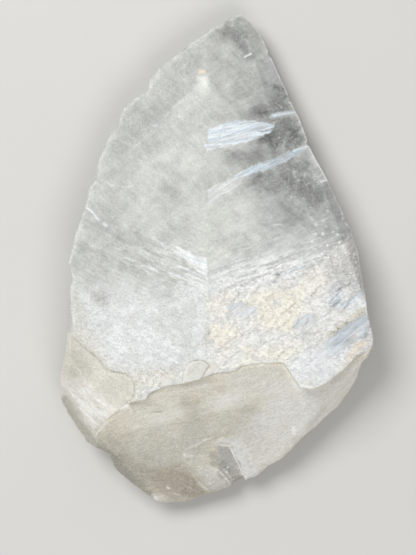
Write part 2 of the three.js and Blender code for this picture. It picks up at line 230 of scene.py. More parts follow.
def flatFacets(corners, triangles):  # groups the triangles that lie in one plane
    spans = corners[triangles]
    crosses = crossesOf(corners, triangles)
    areas = np.linalg.norm(crosses, axis=1)
    normals = crosses / np.maximum(areas, 1e-12)[:, None]
    beside = sharedEdges(triangles.tolist())
    neighbours = [[] for _ in triangles]
    for pair in beside.values():
        if len(pair) == 2:
            neighbours[pair[0]].append(pair[1])
            neighbours[pair[1]].append(pair[0])
    group = np.full(len(triangles), -1)
    planes = []
    for start in np.argsort(-areas):
        if group[start] >= 0:
            continue
        normal, origin = normals[start], spans[start, 0]
        group[start] = len(planes)
        waiting = [start]
        while waiting:
            for other in neighbours[waiting.pop()]:
                flat = np.abs((spans[other] - origin) @ normal).max() < crystal["flatness"]
                large = areas[other] > 2 * crystal["smallArea"]
                turned = large and normals[other] @ normal < crystal["sameNormal"]
                if group[other] < 0 and flat and not turned:
                    group[other] = len(planes)
                    waiting.append(other)
        planes.append((normal, origin))
    return group, planes, beside


def insideWalls(cells, walls):  # the triangles that an outline of wall edges holds
    beside = sharedEdges(cells)
    within = {}
    waiting = []
    for edge, pair in beside.items():
        if len(pair) == 1 and pair[0] not in within:
            within[pair[0]] = edge in walls
            waiting.append(pair[0])
    while waiting:
        index = waiting.pop()
        cell = cells[index]
        for side in range(3):
            edge = frozenset((cell[side], cell[(side + 1) % 3]))
            for other in beside[edge]:
                if other not in within:
                    within[other] = within[index] != (edge in walls)
                    waiting.append(other)
    return [cell for index, cell in enumerate(cells) if within[index]]


def cutEdges(beside):  # even points along the edges that two facets share, and each facet's rim
    points = [tuple(corner) for corner in corners]
    creases = []
    rims = [[] for _ in planes]
    for edge, pair in beside.items():
        one, two = (group[index] for index in pair)
        if one == two:
            continue
        start, end = sorted(edge)
        middle = (corners[start] + corners[end]) / 2
        along = corners[end] - corners[start]
        spacing = min(spacingAt(middle[None], facetNormals[[facet]])[0] for facet in (one, two))
        count = max(1, round(np.linalg.norm(along) / spacing))
        chain = [start, *range(len(points), len(points) + count - 1), end]
        points += [tuple(corners[start] + along * step / count) for step in range(1, count)]
        for facet in (one, two):
            rims[facet] += list(zip(chain, chain[1:]))
        creases.append((chain, one, two))
    return points, creases, rims


def scatter(flat, edges, solidAt, normal, random):  # places inside a facet, spaced as its looks need
    low, high = flat.min(axis=0), flat.max(axis=0)
    inner = []
    for spacing in {crystal[name] for name in crystal if name.endswith("Spacing")}:
        columns = np.arange(low[0], high[0], spacing)
        rows = np.arange(low[1], high[1], spacing * crystal["rowPitch"])
        if not len(columns) or not len(rows):
            continue
        grid = np.array([(x + (row % 2) * spacing / 2, y) for row, y in enumerate(rows) for x in columns])
        grid += random.uniform(-crystal["jitter"], crystal["jitter"], grid.shape) * spacing
        inner.append(grid[spacingAt(solidAt(grid), np.repeat(normal[None], len(grid), axis=0)) == spacing])
    inner = np.concatenate(inner) if inner else np.empty((0, 2))
    inner = inner[insideEdges(inner, flat, edges)]
    if not len(inner):
        return inner
    tree = treeOf([(x, y, 0) for x, y in flat])
    clear = spacingAt(solidAt(inner), np.repeat(normal[None], len(inner), axis=0)) * crystal["clearance"]
    away = np.array([tree.find((x, y, 0))[2] for x, y in inner])
    return inner[away > clear]


def refine(beside):  # the same solid with evenly spaced points on every facet
    points, creases, rims = cutEdges(beside)
    faces = []
    random = np.random.default_rng(crystal["seed"])
    for facet, (normal, origin) in enumerate(planes):
        members = np.flatnonzero(group == facet)
        if len(members) == 1 and len(rims[facet]) == 3:
            faces.append(tuple(triangles[members[0]]))
            continue
        aside = np.cross(normal, [1, 0, 0] if abs(normal[0]) < 0.7 else [0, 1, 0])
        aside /= np.linalg.norm(aside)
        axes = np.array([aside, np.cross(normal, aside)])
        rim = sorted({point for pair in rims[facet] for point in pair})
        flat = (np.array([points[point] for point in rim]) - origin) @ axes.T
        place = {point: index for index, point in enumerate(rim)}
        edges = [(place[a], place[b]) for a, b in rims[facet]]
        inner = scatter(flat, edges, lambda places: origin + places @ axes, normal, random)

        ids = rim + list(range(len(points), len(points) + len(inner)))
        points += [tuple(point) for point in origin + inner @ axes]
        spread = [Vector(point) for point in np.concatenate([flat, inner])]
        made, links, cells, sources, origins, _ = geometry.delaunay_2d_cdt(spread, edges, [], 0, 1e-6)
        walls = {frozenset(link) for link, source in zip(links, origins) if source}
        local = []
        for point, source in zip(made, sources):
            if source:
                local.append(ids[min(source)])
            else:
                local.append(len(points))
                points.append(tuple(origin + np.array(point) @ axes))
        for cell in insideWalls(cells, walls):
            a, b, c = (made[index] for index in cell)
            turn = (b - a).cross(c - a) < 0
            cell = tuple(local[index] for index in (reversed(cell) if turn else cell))
            if len(set(cell)) == 3:
                faces.append(cell)
    return np.array(points), np.array(faces), creases


corners, triangles = solidOf("calcite_crystal")
group, planes, beside = flatFacets(corners, triangles)
facetNormals = np.array([normal for normal, _ in planes])
points, faces, creases = refine(beside)
print("surface:", len(points), "points,", len(faces), "triangles")


# patterns worked out at the points

def chance(cells, seed):  # a repeatable random number from 0 to 1 for each cell
    code = cells.astype(np.int64) @ np.array([73856093, 19349663, 83492791][:cells.shape[1]])
    code = (code + seed * 2654435761) & 0xFFFFFFFF
    for _ in range(2):
        code = ((code ^ (code >> 15)) * 0x2C1B3C6D) & 0xFFFFFFFF
        code = ((code ^ (code >> 12)) * 0x297A2D39) & 0xFFFFFFFF
    return (code ^ (code >> 15)) / 0xFFFFFFFF


def lattice(places, seed):  # smooth noise from 0 to 1 on a unit lattice
    cells = np.floor(places).astype(np.int64)
    share = places - cells
    share = share * share * (3 - 2 * share)
    total = np.zeros(len(places))
    for corner in itertools.product((0, 1), repeat=places.shape[1]):
        weight = np.prod(np.where(corner, share, 1 - share), axis=1)
        total += weight * chance(cells + corner, seed)
    return total


def clouds(places, size, octaves, seed):  # size in mm, value about 0 to 1
    total, weight = 0, 0
    for octave in range(octaves):
        strength = 0.6 ** octave
        total = total + strength * lattice(places / size * 2 ** octave + octave * 17.3, seed + octave)
        weight += strength
    return total / weight


def turned(places, degrees):  # x along a direction on the face, y across it
    angle = math.radians(degrees)
    x, y = places[:, 0], places[:, 1]
    cosine, sine = math.cos(angle), math.sin(angle)
    return np.stack([x * cosine + y * sine, y * cosine - x * sine], axis=1)


def streaks(places, degrees, length, width, octaves, seed):  # noise drawn out along a direction
    return clouds(turned(places, degrees) / (length, width), 1.0, octaves, seed)


def ridges(values, width):  # thin lines where smooth noise passes its middle
    return smoothStep(width, 0, np.abs(values - 0.5))


def rhombs(places, length, width, seed):  # one random number and a slope for cells along the cleavages
    first, second = (math.radians(crystal[name]) for name in ("cleavageA", "cleavageB"))
    axes = np.array([[math.cos(first), math.cos(second)], [math.sin(first), math.sin(second)]])
    warp = [clouds(places, 2.2 * width, 2, seed + shift) - 0.5 for shift in (7, 31)]
    along, across = np.linalg.solve(axes, (places + 3.0 * width * np.stack(warp, axis=1)).T)
    row = np.floor(across / width)
    along = along / length + 7 * chance(row.astype(np.int64)[:, None], seed + 3)
    column = np.floor(along)
    cells = np.stack([row, column], axis=1).astype(np.int64)
    level, tiltA, tiltB = (chance(cells, seed + step) for step in (5, 6, 7))
    slope = (tiltA - 0.5) * (along - column - 0.5) + (tiltB - 0.5) * (across / width - row - 0.5)
    return level, slope


def fibres(low, high, places, *pattern):  # streaks, blank below low and full above high
    return smoothStep(low, high, streaks(places, *pattern))


def flecks(spacing, share, size, seed):  # ragged dots of a size in mm scattered on the face
    cells = np.floor(frayedPlaces / spacing).astype(np.int64)
    found = np.zeros(len(points))
    for shift in itertools.product((-1, 0, 1), repeat=2):
        cell = cells + shift
        middle = (cell + np.stack([chance(cell, seed + step) for step in (1, 2)], axis=1)) * spacing
        reach = size * (0.5 + chance(cell, seed + 3))
        dot = smoothStep(1.0, 0.3, np.hypot(*(frayedPlaces - middle).T) / reach)
        found = np.maximum(found, dot * (chance(cell, seed + 4) < share))
    return found


def laid(values, target, share):
    return values + (target - values) * share


crosses = crossesOf(points, faces)
normals = np.zeros_like(points)
for side in range(3):
    np.add.at(normals, faces[:, side], crosses)
normals /= np.maximum(np.linalg.norm(normals, axis=1), 1e-9)[:, None]

flatPlaces = points[:, :2]
x, y, z = points.T
up = smoothStep(0.3, 0.7, normals[:, 2])
down = smoothStep(-0.3, -0.8, normals[:, 2])
wall = 1 - np.maximum(up, down)
warpFine = np.stack([clouds(flatPlaces, 2.6, 2, seed) - 0.5 for seed in (301, 302)], axis=1)
warpBroad = np.stack([clouds(flatPlaces, 11, 2, seed) - 0.5 for seed in (303, 304)], axis=1)
warpStreaky = np.stack([streaks(flatPlaces, 24, 15, 1.8, 3, 305) - 0.5] * 2, axis=1) * [0.91, 0.41]
frayedPlaces = flatPlaces + 0.8 * warpFine


def zoneShare(outline, soft, ragged=0.0, wander=0.0, drawn=0.0):
    places = flatPlaces + 2 * ragged * warpFine + 2 * wander * warpBroad + 2 * drawn * warpStreaky
    return smoothStep(soft, -soft, edgeDistance(places, outline))


def creaseDistances():  # how near each point is to a worn edge of the solid: its rim, ledge or notch
    tall = {}
    for chain, one, two in creases:
        for facet in (one, two):
            heights = points[[chain[0], chain[-1]], 2]
            low, high = tall.get(facet, (1e9, -1e9))
            tall[facet] = (min(low, heights.min()), max(high, heights.max()))
    kept = []
    for chain, one, two in creases:
        turn = facetNormals[one] @ facetNormals[two]
        steep = one if facetNormals[one][2] < facetNormals[two][2] else two
        low, high = tall[steep]
        if turn < crystal["creaseTurn"] and high - low > crystal["creaseHeight"]:
            kept += chain
    tree = treeOf(points[kept])
    return np.array([tree.find(point)[2] for point in points])


def twinHeights():  # how high the two twin faces, the largest flat ones, stand over each point
    sizes = np.zeros(len(planes))
    np.add.at(sizes, group, np.linalg.norm(crossesOf(corners, triangles), axis=1))
    sizes[facetNormals[:, 2] < 0.98] = 0
    heights = []
    for facet in np.argsort(sizes)[-2:]:
        normal, origin = planes[facet]
        heights.append(origin[2] - (flatPlaces - origin[:2]) @ normal[:2] / normal[2])
    return np.minimum(*heights)


creaseDistance = creaseDistances()
depth = twinHeights() - z
front = up + wall * (z > 2)
rightSide = smoothStep(-0.4, 0.4, x - crystal["seamX"])
frostSide = smoothStep(-1.2, 1.2, x - crystal["seamX"] + 12 * warpFine[:, 0] + 22 * warpBroad[:, 1])
base = zoneShare(zones["base"], 0.6) * smoothStep(0.4, 0.9, depth) * front
block = zoneShare(zones["block"], 0.6) * smoothStep(0.2, 0.6, depth) * front * (1 - base)
onFace = up * (1 - base) * (1 - block)
frostRight = zoneShare(zones["frostRight"], 1.2, 2.0, 2.5) * onFace * frostSide
frostLeft = zoneShare(zones["frostLeft"], 7.0, 3.0, 7.0) * onFace * (1 - frostSide)
clearFace = onFace * (1 - frostRight)
print("zones found")


# the smooth plates that stand out of the frost
plates = {
    "raised": [
        [(6.1, -19.9), (10.6, -19.4), (15.9, -20.3), (16.8, -23), (12.8, -25.7), (4.3, -25.7)],
        [(34.1, -29.7), (35.4, -26.1), (39.4, -23.4), (43.9, -25.7), (42.6, -29.2), (37.2, -31.4)],
        [(47.9, -14.1), (51, -10.1), (53.7, -10.1), (52.3, -13.7)],
        [(43, -41.5), (50.6, -34.1), (57.2, -28.3), (64.8, -24), (66.8, -28.5), (66.2, -33), (61.5, -35),
            (57, -38.2), (51.5, -41.5), (46, -44)],
    ],
    "slab": [(29.7, -45.7), (37.2, -44.8), (47, -42.1), (57.2, -43.9), (56.3, -48.3), (50.6, -53.7),
        (45.2, -56.8), (35.9, -56.3)],
}
plateShare = np.zeros(len(points))
for outline in plates["raised"]:
    plateShare = np.maximum(plateShare, zoneShare(outline, 1.6, 1.6))
slabShare = zoneShare(plates["slab"], 0.8, 0.8)


# relief, in mm along the surface's normal
relief = {
    "frostBig": 0.16,
    "frostMiddle": 0.15,
    "frostSmall": 0.10,
    "frostLeft": 0.09,
    "striae": 0.03,
    "faceWaves": 0.05,
    "fibres": 0.10,
    "wallSteps": 0.55,
    "chips": 0.30,
    "lift": 0.05,  # what lies lower than this stays flat
}

flakes = [rhombs(flatPlaces, *size) for size in ((8.5, 4.6, 11), (3.6, 2.1, 21), (1.6, 1.1, 31))]
frostRelief = 0
for (level, slope), name in zip(flakes, ("frostBig", "frostMiddle", "frostSmall")):
    frostRelief = frostRelief + relief[name] * (0.7 * level + 0.9 * slope - 0.35)
height = frostRight * (1 - 0.9 * plateShare) * (1 - 0.4 * slabShare) * frostRelief
level, _ = rhombs(flatPlaces, 2.6, 1.5, 41)
height += frostLeft * relief["frostLeft"] * (level + clouds(points, 1.6, 2, 42) - 1)
striae = [streaks(flatPlaces, *pattern) for pattern in ((19, 30, 1.3, 2, 52), (-24, 34, 1.4, 2, 51))]
striae = np.where(rightSide > 0.5, *striae)
striaeShare = smoothStep(-24, -8, y) * smoothStep(30, 5, y) * clearFace
height += striaeShare * relief["striae"] * (striae - 0.5)
height += clearFace * relief["faceWaves"] * (clouds(points, 9, 3, 61) - 0.5)
height += base * relief["fibres"] * (streaks(flatPlaces, 12, 26, 1.4, 2, 71) - 0.5)
height += block * relief["fibres"] * (streaks(flatPlaces, -38, 12, 1.3, 2, 72) - 0.5)
around = np.arctan2(y + 5, x) * 70  # mm along the walls
wallWarp = np.stack([clouds(points, 7, 2, seed) - 0.5 for seed in (306, 307)], axis=1)
wallPlaces = np.stack([around, z], axis=1) + 5 * wallWarp
wallSteps = streaks(wallPlaces, 8, 18, 3.2, 2, 81) * 6
wallSteps = (np.floor(wallSteps) + smoothStep(0.0, 0.5, wallSteps % 1)) / 6
wallSteps = wallSteps + 0.3 * clouds(points, 2.5, 2, 82) - 0.65
height += wall * (1 - block) * (1 - base) * relief["wallSteps"] * wallSteps
chip = smoothStep(0.42, 0.7, clouds(points, 3.2, 3, 91)) * smoothStep(1.8, 0.2, creaseDistance)
chip = relief["chips"] * chip * (1 - 0.6 * frostRight)
height -= chip * (1 - 0.8 * smoothStep(0, 8, x) * smoothStep(16, 24, y))  # the upper right rim is whole
height = np.where(z < relief["lift"], 0, height)
shaped = points + normals * height[:, None]
shaped[:, 2] = np.maximum(shaped[:, 2], np.where(z < relief["lift"], 0, relief["lift"]))


def rubbed(places, share, rounds):  # edges rounded by drawing each point towards the middle of its neighbours
    sides = np.vstack([faces[:, [0, 1]], faces[:, [1, 2]], faces[:, [2, 0]]])
    sides = np.unique(np.sort(sides, axis=1), axis=0)
    start, end = np.concatenate([sides, sides[:, ::-1]]).T
    count = np.bincount(start, minlength=len(places))[:, None]
    for _ in range(rounds):
        sums = np.stack([np.bincount(start, places[end, axis], len(places)) for axis in range(3)], axis=1)
        places = places + (sums / np.maximum(count, 1) - places) * share[:, None]
    return places


wear = {
    "rounds": 10,
    "atEdges": 0.08,
    "atWalls": 0.25,
    "zones": [  # the groove, the base's right corner, the striae and the block's edge: share, outline
        (0.8, [(-14, -90), (-6, -78), (12, -74), (22, -90), (24, -108), (-12, -108)]),
        (0.8, [(46, -50), (60, -50), (72, -70), (40, -86), (30, -84)]),
        (0.4, [(-2, -14), (20, -10), (44, -4), (44, 4), (20, 0), (-2, -4)]),
        (0.7, [(-66, -31), (-60, -30), (-46, -44), (-47, -52), (-52, -50), (-64, -38)]),
    ],
}
smoothRim = smoothStep(8, 12, x) * smoothStep(-30, 0, y)  # the straight rim on the right
rub = wear["atEdges"] * smoothStep(1.6, 0.5, creaseDistance) * (1 - 0.7 * smoothRim)
for share, outline in wear["zones"]:
    rub = np.maximum(rub, share * zoneShare(outline, 3.0) * (1 - down))
rub = np.maximum(rub, wear["atWalls"] * smoothStep(0.35, 0.1, np.abs(normals[:, 2])))
shaped = rubbed(shaped, rub * smoothStep(0.3, 1.5, z), wear["rounds"])
print("relief raised")


# places on the face with a look of their own, in mm
spots = {
    "rightRim": [(50, -15), (55, -8), (64, -8), (66, -20), (58, -22), (50, -20)],
    "frostCorner": [(31, -44), (44, -37), (52, -40), (58, -40), (60, -44), (48, -52), (36, -56)],
    "frostEdge": [(-2, -3), (14, 1), (32, 4), (46, 2), (40, -6), (24, -11), (6, -13), (-2, -10)],
    "blockShine": [(-66.8, -55.4), (-61.4, -52.8), (-53.9, -55.9), (-47.2, -61.7), (-44.1, -67),
        (-49.9, -73.2), (-54.3, -75), (-61.4, -66.1)],
    "smallCrystal": [(-14.3, -45.7), (-10.8, -43.9), (-5, -43.9), (0.6, -45), (1.5, -47.6), (-5.4, -50.1),
        (-7.7, -53.7), (-14.3, -54.1)],
    "ledgeFade": [(-38, -46), (-22, -44), (-8, -48), (-8, -54), (-36, -64)],
    "rimGlintZone": [(46, 22), (56, 20), (63, 0), (66, -16), (60, -14), (50, -6), (34, -2), (40, 6)],
    "tipGlintZone": [(60, -31), (65, -31), (67, -36), (61, -36)],
    "baseGlintZone": [(36, -62), (54, -58), (58, -66), (34, -86), (22, -94), (26, -84)],
    "notchGlintZone": [(-12, -92), (6, -90), (14, -98), (16, -104), (-4, -108)],
    "dullRim": [(-50, -84), (-26, -92), (-10, -100), (-10, -112), (-60, -112)],
    "shadedRim": [(-70, -60), (-66, -60), (-60, -70), (-52, -80), (-46, -86), (-34, -96), (-30, -100),
        (-36, -106), (-54, -94), (-64, -82), (-71, -70)],
    "fan": [(-46, 8), (-24, 8), (-4, 2), (-4, -15), (-20, -12), (-42, -4)],
    "frostHairs": [(-2, -6), (20, -1), (44, 6), (58, 12), (60, 4), (44, -2), (22, -8), (-2, -13)],
}


# how light, how warm and how blue the crystal looks, each from 0 to 1
tones = {
    "light": 0.76 + 0.16 * (clouds(points, 12, 4, 101) - 0.5),
    "warm": 0.30 + 0.2 * clouds(points, 15, 2, 102),
    "cool": np.zeros(len(points)),
    "peach": np.zeros(len(points)),
}


def lay(share, **targets):
    for name, target in targets.items():
        tones[name] = laid(tones[name], target, share)


# milky veils, and clear places inside the crystal painted dark as the shade seen through them: light,
# strength, softness, raggedness, wander and outline in mm
veilsAndClearShade = [
    (0.745, 0.8, 3, 1.5, 2, [(-32, 90), (-9, 88), (-6, 80), (-22, 63), (-40, 48), (-56, 52), (-48, 72)]),
    (0.81, 0.9, 1, 0.2, 0.6, [(-5.9, 77.9), (-3.7, 76.1), (12.8, 62.8), (20.3, 55.2), (10.6, 39.7),
        (-0.6, 10), (-29.4, 2), (-47.2, 38.8), (-29.4, 57.4), (-9.4, 76.1)]),
    (0.67, 0.85, 8, 2, 5, [(10, 88), (17.2, 88.6), (30.6, 66.3), (52.8, 24.1), (45.2, 19.7), (34, 25),
        (26, 32), (16, 41), (16, 50), (20, 58), (14, 70)]),
    (0.52, 0.85, 4, 2.5, 3, [(25, 59), (30, 62.5), (36.5, 62), (40, 52), (36, 50), (29, 48.5), (22, 50),
        (20, 54)]),
    (0.6, 0.8, 7, 3, 5, [(20, 36), (27, 40), (34, 44), (42, 46), (50, 28), (46, 22), (34, 26), (24, 31),
        (18, 33)]),
    (0.6, 0.75, 3, 2, 2, [(22, 79), (25, 82), (28, 80), (34, 68), (27, 66), (23, 70)]),
    (0.74, 0.7, 4, 2, 2, [(4, 49), (18, 53), (24, 48), (16, 41), (6, 40), (0, 44)]),
    (0.68, 0.6, 2.5, 2, 2, [(4, 46), (14, 47.6), (32, 48), (28, 45), (16, 40), (6, 40)]),
    (0.66, 0.75, 2.2, 2, 2, [(15, 67), (22, 69.5), (31, 68.5), (31, 65.8), (24, 63.2), (16, 62.8)]),
    (0.6, 0.75, 1.2, 0.8, 0.6, [(18, 66), (24, 66), (28, 63), (34, 60), (28, 57.6), (25.5, 60.5),
        (19, 62.6)]),
    (0.8, 0.4, 2.5, 2.5, 2, [(13, 79), (21, 77), (28, 72), (25, 67), (17, 69), (12, 73)]),
    (0.77, 0.85, 0.6, 0.2, 0, [(10.1, 107.7), (13.7, 107.7), (19.9, 101.4), (30.6, 77.4), (23, 77.4),
        (18.2, 86.8), (16, 93.9), (12.4, 102.8)]),
    (0.66, 0.7, 4, 2, 2, [(-1.7, 99.2), (9.8, 107.7), (15, 91), (13.2, 89.9), (10.6, 96.6), (4.3, 96.6)]),
    (0.74, 0.6, 2.5, 1.5, 1, [(2.6, 95.6), (9.6, 97.3), (12.2, 92), (9.6, 88.4), (4.3, 91.1)]),
    (0.96, 0.9, 1.6, 1.2, 0.5, [(-7.6, 80.8), (-3.2, 80.8), (-3.2, 72.5), (-5.4, 73.6), (-9.5, 75.6)]),
    (0.7, 0.6, 4, 2, 2, [(-62.3, 7.7), (-55.2, 8.6), (-57, -1.2), (-63.2, -1.2)]),
    (0.72, 0.55, 3, 2, 3, [(-46.3, 19.7), (-33.9, 12.1), (-29.4, 3.2), (-39.2, 4.1), (-46.3, 10.3)]),
    (0.7, 0.6, 1.4, 1.2, 1, [(-25.5, 36), (-17, 31), (-10, 24.2), (-12, 21.8), (-18.4, 26.6), (-26, 33)]),
    (0.85, 0.75, 8, 2, 3, [(-16, 26), (-6, 36), (8, 33), (12, 20), (10, 2), (-2, -6), (-14, 6)]),
    (0.7, 0.75, 3, 1.5, 1.5, [(45, 25), (55, 25), (62, 8), (64, -8), (58, -12), (50, 2)]),
    (0.8, 0.5, 2.5, 1, 1, [(-4, 78), (3, 71), (5, 62), (-4, 62)]),
    (0.9, 0.6, 2.5, 1, 1, [(-4, 6), (6, 6), (10, -5), (-4, -11)]),
    (0.76, 0.6, 2.5, 1, 1, [(-4, 50), (-10, 50), (-10, 31), (-4, 31)]),
    (0.82, 0.65, 6, 2.5, 3, [(37, 15), (44, 12), (47, 0), (46, -8), (37, -6), (28, 4)]),
    (0.69, 0.7, 3.5, 2, 2, [(45, 13), (57, 12), (61, -2), (60, -12), (53, -9), (46, 3)]),
    (0.84, 0.5, 5, 2, 2, [(6, 9), (24, 9), (34, 4), (26, -1), (6, -1)]),
    (0.69, 0.65, 4, 2, 2.5, [(24, 34), (33, 33), (40, 22), (36, 12), (29, 12), (24, 22)]),
    (0.67, 0.75, 1.6, 1.8, 1.2, [(2, 104), (9.6, 107.9), (12.2, 102.4), (15.6, 93), (17.4, 87.6), (14, 88.4),
        (11.6, 93), (8, 97), (6, 101)]),
    (0.66, 0.6, 1.6, 1.2, 0.8, [(-2, 101), (4, 103.5), (8, 101), (4, 98)]),
    (0.72, 0.6, 5, 2, 2, [(-38, 70), (-22, 70), (-16, 56), (-24, 46), (-44, 50)]),
    (0.74, 0.5, 4, 2, 2, [(-18, 94), (0, 100), (4, 88), (-12, 85)]),
    (0.87, 0.6, 2.5, 1, 1, [(-8, 75), (-1, 75), (1, 66), (-6, 65)]),
]
drawnClearShade = range(2, 6)  # the clearest ones, painted darkest, drawn out along the cleavage
fadingVeil = 1  # it thins out downwards
mottle = 0.10 * (clouds(flatPlaces, 16, 3, 111) - 0.5) + 0.09 * (clouds(flatPlaces, 4.5, 3, 112) - 0.5)
lay(up, light=0.785, warm=0.66 - 0.2 * smoothStep(0, 40, x), cool=0.26)
for index, (light, strength, soft, ragged, wander, outline) in enumerate(veilsAndClearShade):
    share = zoneShare(outline, soft, ragged, wander, 4.0 if index in drawnClearShade else 0.0) * strength
    if index == fadingVeil:
        share *= smoothStep(18, 48, y + 0.35 * x)
    lay(share * clearFace, light=light)
# the clear places painted dark, as the shade seen through them
darkness = smoothStep(0.76, 0.55, tones["light"]) * clearFace
curls = ridges(clouds(flatPlaces + 6 * warpBroad, 7, 3, 121), 0.03)
curls *= smoothStep(0.4, 0.6, clouds(flatPlaces, 9, 2, 122))
wisps = ridges(clouds(flatPlaces + 4 * warpFine + 3 * warpBroad, 3.2, 3, 123), 0.05)
clearLines = (0.14 * curls + 0.08 * (wisps - 0.35)) * darkness
tones["light"] += clearFace * mottle * (1 + 1.2 * darkness) + clearLines
for degrees, seed in ((-31, 131), (38, 132), (-52, 133)):
    line = streaks(flatPlaces, degrees, 14, 0.8, 2, seed) - 0.5
    tones["light"] += 0.05 * line * clearFace * clouds(flatPlaces, 13, 2, seed + 5) * 1.4
tones["light"] += striaeShare * 0.07 * (striae - 0.5) * smoothStep(-60, -15, x)

# the bands' painted reflection, bluish white and streaked
paintedReflectionShare = np.zeros(len(points))
for index, (strength, cover, blue, degrees, outline) in enumerate(bandsWithPaintedReflection):
    hatch = fibres(0.40, 0.52, frayedPlaces, degrees, 8, 0.5, 2, 141 + index)
    share = strength * zoneShare(outline, 0.3, 0.7) * clearFace * (0.45 + 0.55 * hatch)
    whiter = fibres(0.46, 0.56, frayedPlaces, degrees, 6, 0.6, 2, 241 + index)
    whiter *= 1 - 0.5 * smoothStep(10, 22, x)
    light = 0.875 - 0.06 * smoothStep(19, 26, x) - 0.10 * smoothStep(31, 39, x) + 0.07 * whiter
    lay(share * cover, light=light, cool=blue * (1 - 0.5 * whiter), warm=0)
    paintedReflectionShare = np.maximum(paintedReflectionShare, share)

# cream patches in the frost on the right, a painted warm reflection: strength and outline in mm
warmReflections = [
    (0.9, [(13, -17), (21, -14.4), (38.1, -11), (38.6, -18.1), (36.3, -26.1), (31, -31.4), (20.3, -29.7),
        (15, -23.4)]),
    (0.9, [(-5.4, -31.4), (-1.9, -27.9), (7, -27.9), (9.7, -32.3), (5.2, -37.7), (-1.9, -38.1),
        (-4.6, -35.9)]),
    (0.75, [(2.6, -38.6), (20.3, -37.5), (36, -37.5), (38.6, -41.2), (29.7, -45.2), (10.6, -45.7),
        (2.6, -41.2)]),
    (0.5, [(32.8, -5.7), (42.6, -3), (50.6, -7), (47, -14.6), (37.2, -16.3)]),
    (0.5, [(-9, -14), (4, -13), (14, -20), (4, -25), (-6, -24)]),
]
warmReflectionShare = 0.12 * smoothStep(0.45, 0.7, clouds(flatPlaces, 6, 2, 151))
for strength, outline in warmReflections:
    warmReflectionShare = np.maximum(warmReflectionShare, strength * zoneShare(outline, 2.5, 2.5, 1.5))
warmReflectionCells = flakes[1][0] * 0.5 + flakes[2][0] * 0.3 + 0.2 * flakes[0][0]
warmReflectionShare *= smoothStep(0.05, 0.50, warmReflectionCells)
tone = 0
for (level, _), strength in zip(flakes, (0.02, 0.04, 0.05)):
    tone = tone + strength * (level - 0.5)
rough = frostRight * (1 - plateShare)
# the rough frost, warmed where its painted warm reflection lies
lay(rough, light=0.915 + tone + 0.03 * warmReflectionShare, warm=0.22 + 0.90 * warmReflectionShare,
    cool=0.03 * (1 - warmReflectionShare), peach=0.3)
# painted light: the frost's steep sides whitened against their shade
lay(frostRight * smoothStep(0.9, 0.6, normals[:, 2]), light=1.0)
plateStreaks = streaks(flatPlaces, 38, 6, 0.7, 2, 152) - 0.5
lay(frostRight * plateShare, light=0.895 + 0.24 * plateStreaks - 0.05 * smoothStep(46, 56, x), warm=0.05,
    cool=(0.38 + 0.20 * smoothStep(44, 56, x)) * fibres(0.3, 0.6, flatPlaces, 38, 9, 1.6, 2, 155))
lay(zoneShare(spots["rightRim"], 2.5, 1.5) * up * 0.8, warm=0.1,
    light=0.77 + 0.16 * fibres(0.42, 0.6, flatPlaces, 46, 7, 0.9, 2, 156),
    cool=0.8 * fibres(0.3, 0.6, flatPlaces, 40, 9, 1.8, 2, 159))
cornerStreaks = streaks(frayedPlaces, 42, 7, 0.8, 2, 158)
lay(zoneShare(spots["frostCorner"], 3.0, 1.5) * frostRight * 0.7, warm=0.05,
    light=0.91 + 0.07 * smoothStep(0.4, 0.6, cornerStreaks), cool=0.40 * smoothStep(0.45, 0.6, cornerStreaks))
lay(zoneShare(spots["frostEdge"], 2.0, 1.0) * onFace * rightSide * 0.75,
    light=0.775 + 0.16 * fibres(0.42, 0.58, flatPlaces, 22, 9, 0.7, 2, 157), warm=0.2, cool=0.12)

# powdery frost on the left
powder = np.clip(frostLeft * (0.45 + 0.9 * clouds(flatPlaces + 3 * warpFine, 6, 3, 153)), 0, 1)
drifts = streaks(flatPlaces + 3 * warpFine, -28, 6, 2.5, 3, 154) - 0.5
lay(powder, light=0.89 + 0.10 * drifts, warm=0.1, cool=0.12)

# the broken base, its low block and the left block
flow = streaks(flatPlaces + 2 * warpBroad, 16, 22, 4, 3, 161) - 0.5
patch = clouds(flatPlaces + 3 * warpBroad, 9, 3, 164) - 0.5
lay(base, light=0.855 + 0.10 * flow + 0.10 * patch, warm=1.15 - 1.2 * patch - 0.6 * flow, cool=0)
lay(block, light=0.84 + 0.08 * (clouds(flatPlaces, 7, 3, 163) - 0.5), warm=0.8, cool=0)
